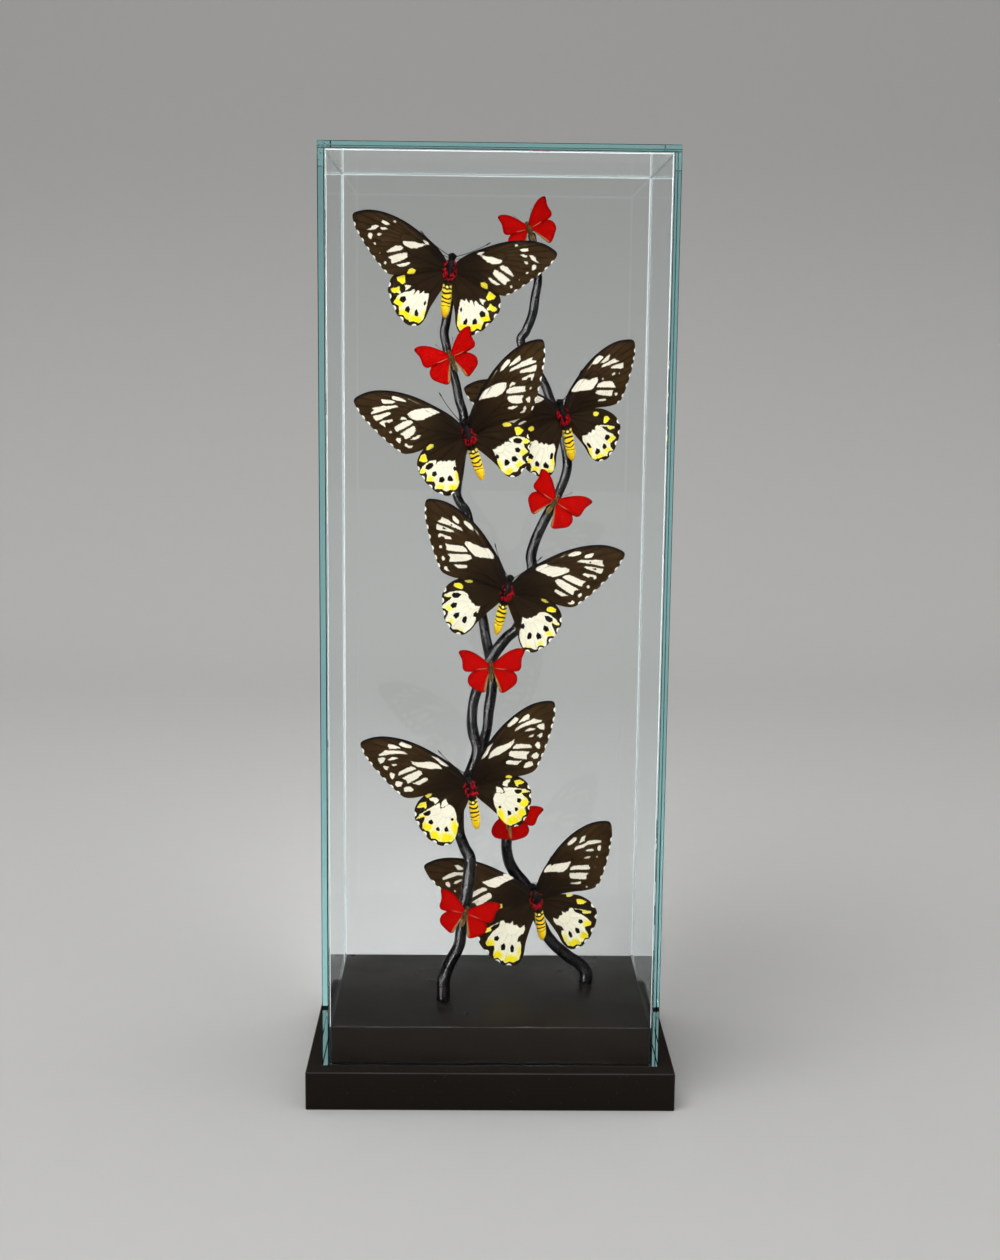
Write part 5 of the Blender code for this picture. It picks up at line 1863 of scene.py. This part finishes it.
@dataclass
class Birdwing(Butterfly):
    """A large birdwing: black thorax with crimson tufts, golden banded abdomen."""

    def build(self, finishes: dict[str, bpy.types.Material]) -> None:
        """Builds all its pieces.

        Args:
            finishes: the materials that the specimens share, by name.
        """
        self.build_wings(finishes["birdwing wings"], "birdwing_wings")
        self.build_body(finishes["birdwing body"], "birdwing_wings")
        self.build_limbs(finishes["dark chitin"], "birdwing_wings")
        fuzz = join_pieces(f"{self.name}_fuzz", [
            self.grow("thorax fuzz", count=800, locks=220, places=(-8.5, 9.0),
                      turns=((0, 150), (0, 150)), length=(0.8, 1.9), lean=0.6, radius=0.06),
            self.grow("head fuzz", count=200, locks=60, places=(9.0, 14.0),
                      turns=((0, 150), (0, 150)), length=(0.6, 1.3), lean=-0.2, radius=0.05)])
        hand_over(fuzz, finishes["black fuzz"], "birdwing_wings", self.name)
        opening = self.random.uniform(14, 46)  # degrees that the tufts leave bare at the head
        tufts = join_pieces(f"{self.name}_tufts", [
            self.grow("side tufts", count=620, locks=40, places=(-6.5, 8.5),
                      turns=((0, 62), (opening, 92)), length=(1.2, 3.9), lean=0.7, radius=0.10),
            self.grow("tail tuft", count=170, locks=18, places=(-8.2, -5.8),
                      turns=((0, 40), (0, 50)), length=(1.2, 2.4), lean=0.9, radius=0.10)])
        hand_over(tufts, finishes["crimson hair"], "birdwing_wings", self.name)
        down = self.grow(f"{self.name}_down", count=200, locks=90, places=(-38.0, -14.0),
                         turns=((50, 160), (50, 160)), length=(0.5, 1.0), lean=2.0, radius=0.045)
        hand_over(down, finishes["golden down"], "birdwing_wings", self.name)


@dataclass
class RedButterfly(Butterfly):
    """A small red butterfly with an olive-brown body."""

    fore_shape: WingShape = RED_FOREWING
    hind_shape: WingShape = RED_HINDWING
    thickness: float = 0.22
    fore_layer: float = 0.9
    hind_layer: float = 0.0
    hind_drop: float = 1.0
    body: tuple[Span, ...] = (  # places along it and the radius at each
        (7.0, 0.0), (6.3, 1.3), (4.8, 1.8), (3.3, 1.5), (0.8, 2.6), (-3.0, 2.5), (-5.6, 1.8),
        (-9.0, 2.0), (-12.5, 1.3), (-15.0, 0.0))
    waist: float = -5.6
    brow: Span = (4.8, 1.8)
    shoulder: float = 2.6
    antenna: float = 13.0
    antenna_radius: float = 0.17
    leg_radius: float = 0.26
    leg_reach: float = 5.5
    leg_places: tuple[Span, ...] = ((1.2, 4.0), (-1.8, -5.0))
    eye: tuple[float, float, float, float] = (5.1, 1.3, 0.5, 0.8)
    segments: int = 6
    body_sides: int = 24
    body_rings: int = 60

    def marks(self, is_hind: bool) -> WingMarks:
        """All red butterflies are marked alike."""
        return RED_HIND_MARKS if is_hind else RED_FORE_MARKS

    def bands(self, place: np.ndarray, turn: np.ndarray) -> tuple[np.ndarray, np.ndarray]:
        """Faint darker rings between the segments, and no spot.

        Args:
            place: along the body, in millimetres.
            turn: round the body from its front, in radians.

        Returns:
            The rings, and nothing for the spot.
        """
        joints = np.linspace(self.waist - 0.5, self.body[-1][0] + 1.5, self.segments + 1)
        rings = np.max([np.exp(-((place - joint) / 0.3) ** 2) for joint in joints], axis=0)
        return 0.5 * rings, 0 * turn

    def build(self, finishes: dict[str, bpy.types.Material]) -> None:
        """Builds all its pieces.

        Args:
            finishes: the materials that the specimens share, by name.
        """
        self.build_wings(finishes["red wings"], "red_wings")
        self.build_body(finishes["olive body"], "red_wings")
        self.build_limbs(finishes["dark chitin"], "red_wings")
        fuzz = self.grow(f"{self.name}_fuzz", count=420, locks=110, places=(-13.0, 5.5),
                         turns=((0, 150), (0, 150)), length=(0.7, 1.8), lean=1.2, radius=0.05)
        hand_over(fuzz, finishes["olive hair"], "red_wings", self.name)


POSES: dict[str, Pose] = {
    "birdwing_1": Pose((-41.7, -15.0, 736.6), 79.6, 85, 7, Wing(96.2, 72.0, 79.5, 0.966),
                       Wing(95.0, 71.2, 79.9, 0.965), (61, 58), ("branch_right", "branch_right")),
    "birdwing_2": Pose((-24.7, -19.0, 592.8), 107.5, 109, 7, Wing(105.3, 55.8, 84.7, 0.838),
                       Wing(106.5, 55.3, 86.6, 0.838, 0.95), (20, 38),
                       ("branch_right", "branch_right")),
    "birdwing_3": Pose((60.8, 4.5, 610.6), 107.1, 101, 3, Wing(92.5, 58.4, 84.7, 0.982),
                       Wing(90.9, 59.7, 91.3, 0.942, 1.02), (44, 48),
                       ("branch_left", "branch_left")),
    "birdwing_4": Pose((11.7, -10.0, 452.7), 75.8, 77.5, 6, Wing(110.5, 55.7, 84.4, 0.866, 0.96),
                       Wing(111.5, 56.9, 83.1, 0.85, 0.94), (36, 38),
                       ("branch_right", "branch_left")),
    "birdwing_5": Pose((-20.4, -25.0, 274.4), 102.1, 98.5, 7, Wing(108.0, 55.0, 86.0, 0.879, 0.95),
                       Wing(111.0, 54.9, 82.3, 0.819, 0.93), (36, 36),
                       ("branch_left", "branch_left")),
    "birdwing_6": Pose((43.0, 15.0, 154.5), 104.3, 98.5, 6, Wing(112.0, 57.4, 85.0, 0.979, 0.93),
                       Wing(103.9, 55.3, 96.2, 0.943, 1.05), (50, 40),
                       ("branch_right", "branch_right")),
    "red_butterfly_1": Pose((27.8, 3.2, 773.9), 113.3, 113.3, 6, Wing(29.5, 48.3, 0, 1),
                            Wing(31.0, 49.7, 0, 1), (35, 35), ("branch_left", "branch_left")),
    "red_butterfly_2": Pose((-40.3, -17.0, 661.1), 113.7, 113.7, 6, Wing(33.0, 56.4, 0, 1),
                            Wing(31.5, 55.9, 10, 1), (35, 35), ("branch_right", "branch_right")),
    "red_butterfly_3": Pose((54.6, 0.0, 533.3), 56.8, 56.8, 6, Wing(32.0, 57.7, 0, 1),
                            Wing(33.6, 57.8, 0, 1), (35, 35), ("branch_left", "branch_left")),
    "red_butterfly_4": Pose((-2.2, -17.0, 382.9), 91.5, 91.5, 6, Wing(33.0, 62.0, 6, 1),
                            Wing(35.1, 62.8, 0, 1), (35, 35), ("branch_left", "branch_left")),
    "red_butterfly_5": Pose((16.1, 12.2, 236.4), 88.7, 88.7, 6, Wing(30.0, 25.0, 65, 1.067),
                            Wing(33.5, 77.0, 0, 1), (35, 35), ("branch_right", "branch_right")),
    "red_butterfly_6": Pose((-23.6, -33.0, 156.1), 75.0, 75.0, 6, Wing(32.2, 59.8, 6, 1),
                            Wing(33.6, 61.5, 0, 1), (35, 35), ("branch_left", "branch_left")),
}


@dataclass
class Collection:
    """All twelve specimens and the finishes that they share."""

    first_seed: int = 11

    def finishes(self) -> dict[str, bpy.types.Material]:
        """Builds the finishes of wings, bodies, hair and limbs.

        Returns:
            The materials by name.
        """
        golden = BodyFinish(thorax=(0.005, 0.004, 0.004), abdomen=(0.82, 0.53, 0.008),
                            side=(0.84, 0.64, 0.09), band=(0.008, 0.005, 0.003),
                            tip=(0.78, 0.42, 0.006))
        olive = BodyFinish(thorax=(0.07, 0.04, 0.012), abdomen=(0.10, 0.06, 0.02),
                           side=(0.30, 0.20, 0.07), band=(0.03, 0.016, 0.006), tip=(0.14, 0.08, 0.025))
        return {
            "birdwing wings": BirdwingWingFinish().material("birdwing scales"),
            "red wings": RedWingFinish().material("scarlet scales"),
            "birdwing body": golden.material("golden abdomen"),
            "olive body": olive.material("olive body"),
            "dark chitin": ChitinFinish((0.006, 0.005, 0.005), (0.014, 0.009, 0.007),
                                        roughness=0.32, gloss=0.15).material("dark chitin"),
            "black fuzz": ChitinFinish((0.005, 0.004, 0.005), (0.012, 0.009, 0.009),
                                       roughness=0.7).material("black fuzz"),
            "crimson hair": ChitinFinish((0.72, 0.009, 0.020), (0.26, 0.002, 0.010),
                                         roughness=0.6, grain=480.0).material("crimson hair"),
            "golden down": ChitinFinish((0.84, 0.58, 0.06), (0.74, 0.44, 0.02),
                                        roughness=0.6).material("golden down"),
            "olive hair": ChitinFinish((0.38, 0.25, 0.10), (0.05, 0.03, 0.01),
                                       roughness=0.7, grain=600.0).material("olive hair"),
        }

    def build(self) -> None:
        """Builds the specimens from the top down."""
        finishes = self.finishes()
        for seed, (name, pose) in enumerate(POSES.items(), self.first_seed):
            kind = Birdwing if name.startswith("birdwing") else RedButterfly
            kind(name, pose, seed).build(finishes)


# ---- Studio ----

class Lit(Enum):
    """What a lamp lights."""

    EVERYTHING = auto()
    PIECES = auto()
    LACQUER = auto()


@dataclass(frozen=True)
class Lamp:
    """A soft lamp aimed at the case: its place and its width and height in metres, its watts."""

    name: str
    place: Triple
    size: Span
    power: float
    lit: Lit = Lit.EVERYTHING


@dataclass
class Studio:
    """Pale floor and backdrop, soft light, and the camera at the photograph's place."""

    camera_place: Triple = (-18.5 * MM, -1519.8 * MM, 656.7 * MM)
    yaw: float = 0.921  # degrees, like pitch and roll
    pitch: float = 9.058
    roll: float = 0.622
    lens: float = 47.92
    sensor: float = 36.0
    middle: float = 0.45  # metres above the floor, where the lamps aim
    floor_tone: Colour = (0.48, 0.48, 0.475)
    dome_tone: Colour = (1.0, 0.99, 0.97)
    dome_rise: Span = (0.05, 0.7)  # the heights between which the dome brightens
    dome_strength: Span = (0.22, 1.15)
    mirrored: float = 0.1  # how much of the dome shows in the glass, which would veil the specimens
    lamps: tuple[Lamp, ...] = (
        Lamp("overhead lamp", (-0.9, -1.1, 3.0), (1.4, 1.4), 34),
        Lamp("left softbox", (-0.8, -1.15, 0.75), (1.2, 2.1), 245, Lit.LACQUER),
        Lamp("right strip", (0.9, -1.2, 0.8), (0.25, 1.9), 8, Lit.LACQUER),
        Lamp("front fill", (0.4, -4.0, 2.6), (1.4, 1.4), 95, Lit.PIECES))

    def build(self) -> None:
        """Builds the whole studio, once the pieces that its lamps light are there."""
        self.build_camera()
        self.build_floor()
        self.build_lights()

    def build_camera(self) -> None:
        """Sets the camera by its turn to the right, its tilt down and its roll."""
        yaw, pitch, roll = (radians(a) for a in (self.yaw, self.pitch, self.roll))
        ahead = np.array((sin(yaw) * cos(pitch), cos(yaw) * cos(pitch), -sin(pitch)))
        level = np.array((cos(yaw), -sin(yaw), 0))
        upright = np.cross(level, ahead)
        right = cos(roll) * level + sin(roll) * upright
        up = -sin(roll) * level + cos(roll) * upright
        turn = Matrix((right, up, -ahead)).transposed().to_4x4()
        bpy.ops.object.select_all(action="DESELECT")
        bpy.ops.object.camera_add()
        camera = bpy.context.active_object
        camera.matrix_world = Matrix.Translation(self.camera_place) @ turn
        camera.data.sensor_fit = "VERTICAL"
        camera.data.sensor_height = self.sensor
        camera.data.lens = self.lens
        camera.data.clip_start = 0.05
        bpy.context.scene.camera = camera

    def build_floor(self) -> None:
        """Builds a floor that curves up into a far backdrop, in metres."""
        near, start, bend, height, width = 7.0, 1.9, 1.2, 3.5, 9.0

        def lay(u: np.ndarray, v: np.ndarray) -> np.ndarray:
            """Lays the floor's points.

            Args:
                u: the share of the way across.
                v: the share from the near end to the backdrop's top.

            Returns:
                Their places, in metres.
            """
            travel = -near + v * (near + start + bend * pi / 2 + height)
            turn = np.clip((travel - start) / bend, 0, pi / 2)
            y = np.minimum(travel, start) + bend * np.sin(turn)
            z = bend * (1 - np.cos(turn)) + np.maximum(travel - start - bend * pi / 2, 0)
            return np.column_stack(((u - 0.5) * width, y, z))

        floor = lay_grid("studio floor", 4, 90, lay)
        floor.data.shade_smooth()
        paint = NodePaint("studio paper")
        paper = paint.noise(paint.place(), 30, 3)
        darker = tuple(0.97 * tone for tone in self.floor_tone)
        paint.set(Base_Color=paint.mix(paper, self.floor_tone, darker), Roughness=0.85,
                  Specular_IOR_Level=0.2)
        floor.data.materials.append(paint.material)
        floor.visible_glossy = False
        floor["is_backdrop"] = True

    def build_lights(self) -> None:
        """Sets up the dome of light and the lamps, two of which show only in the stems' lacquer."""
        bpy.context.scene.view_settings.view_transform = "Standard"
        world = bpy.data.worlds.new("soft dome")
        bpy.context.scene.world = world
        world.use_nodes = True
        nodes, links = world.node_tree.nodes, world.node_tree.links
        place = nodes.new("ShaderNodeTexCoord")
        split = nodes.new("ShaderNodeSeparateXYZ")
        links.new(place.outputs["Generated"], split.inputs[0])
        rise = nodes.new("ShaderNodeMapRange")
        rise.interpolation_type = "SMOOTHSTEP"
        links.new(split.outputs["Z"], rise.inputs["Value"])
        for name, value in zip(("From Min", "From Max", "To Min", "To Max"),
                               self.dome_rise + self.dome_strength):
            rise.inputs[name].default_value = value
        path = nodes.new("ShaderNodeLightPath")
        dimmed = nodes.new("ShaderNodeMapRange")
        links.new(path.outputs["Is Glossy Ray"], dimmed.inputs["Value"])
        dimmed.inputs["To Min"].default_value = 1.0
        dimmed.inputs["To Max"].default_value = self.mirrored
        strength = nodes.new("ShaderNodeMath")
        strength.operation = "MULTIPLY"
        links.new(rise.outputs[0], strength.inputs[0])
        links.new(dimmed.outputs[0], strength.inputs[1])
        links.new(strength.outputs[0], nodes["Background"].inputs["Strength"])
        nodes["Background"].inputs["Color"].default_value = (*self.dome_tone, 1)
        shown = bpy.data.collections.new("lit by the fill")
        bpy.context.scene.collection.children.link(shown)
        for obj in bpy.context.scene.objects:
            if obj.type == "MESH" and obj.name != "studio floor":
                shown.objects.link(obj)
        glossy = bpy.data.collections.new("lacquered stems")
        bpy.context.scene.collection.children.link(glossy)
        for node in VINE_ROUTES:
            glossy.objects.link(bpy.data.objects[f"{node}_stem"])
        for lamp in self.lamps:
            self.add_lamp(lamp, {Lit.PIECES: shown, Lit.LACQUER: glossy}.get(lamp.lit))

    def add_lamp(self, lamp: Lamp, own: bpy.types.Collection | None) -> None:
        """Adds a lamp aimed at the case.

        Args:
            lamp: its place, size and power.
            own: what it lights, without shadows so that the glass doesn't hold it back, or None for
                a lamp that lights everything.
        """
        light = bpy.data.lights.new(lamp.name, "AREA")
        light.shape = "RECTANGLE"
        light.size, light.size_y = lamp.size
        light.energy = lamp.power
        light.use_shadow = own is None
        light.cycles.use_multiple_importance_sampling = own is None
        holder = bpy.data.objects.new(lamp.name, light)
        bpy.context.scene.collection.objects.link(holder)
        if own:
            holder.light_linking.receiver_collection = own
        holder.visible_diffuse = lamp.lit is not Lit.LACQUER
        back = np.array(lamp.place) - np.array((0, 0, self.middle))
        back /= np.linalg.norm(back)
        right = np.cross((0, 0, 1), back)
        right /= np.linalg.norm(right)
        turn = Matrix((right, np.cross(back, right), back)).transposed().to_4x4()
        holder.matrix_world = Matrix.Translation(lamp.place) @ turn


def write_sizes() -> None:
    """Works out the CAD box and the visual model's box as plain numbers, which are not kept."""
    boxes = {"cad": CAD_BOX, "visual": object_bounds()}
    plain = {key: [[float(number) for number in corner] for corner in box]
             for key, box in boxes.items()}


def main() -> None:
    """Builds the case, its specimens and the studio."""
    logging.basicConfig(level=logging.INFO, format="%(message)s")
    SteppedBase().build()
    GlassCase().build()
    for node in VINE_ROUTES:
        Vine(node).build()
    Collection().build()
    Studio().build()
    write_sizes()


if __name__ == "__main__":
    main()
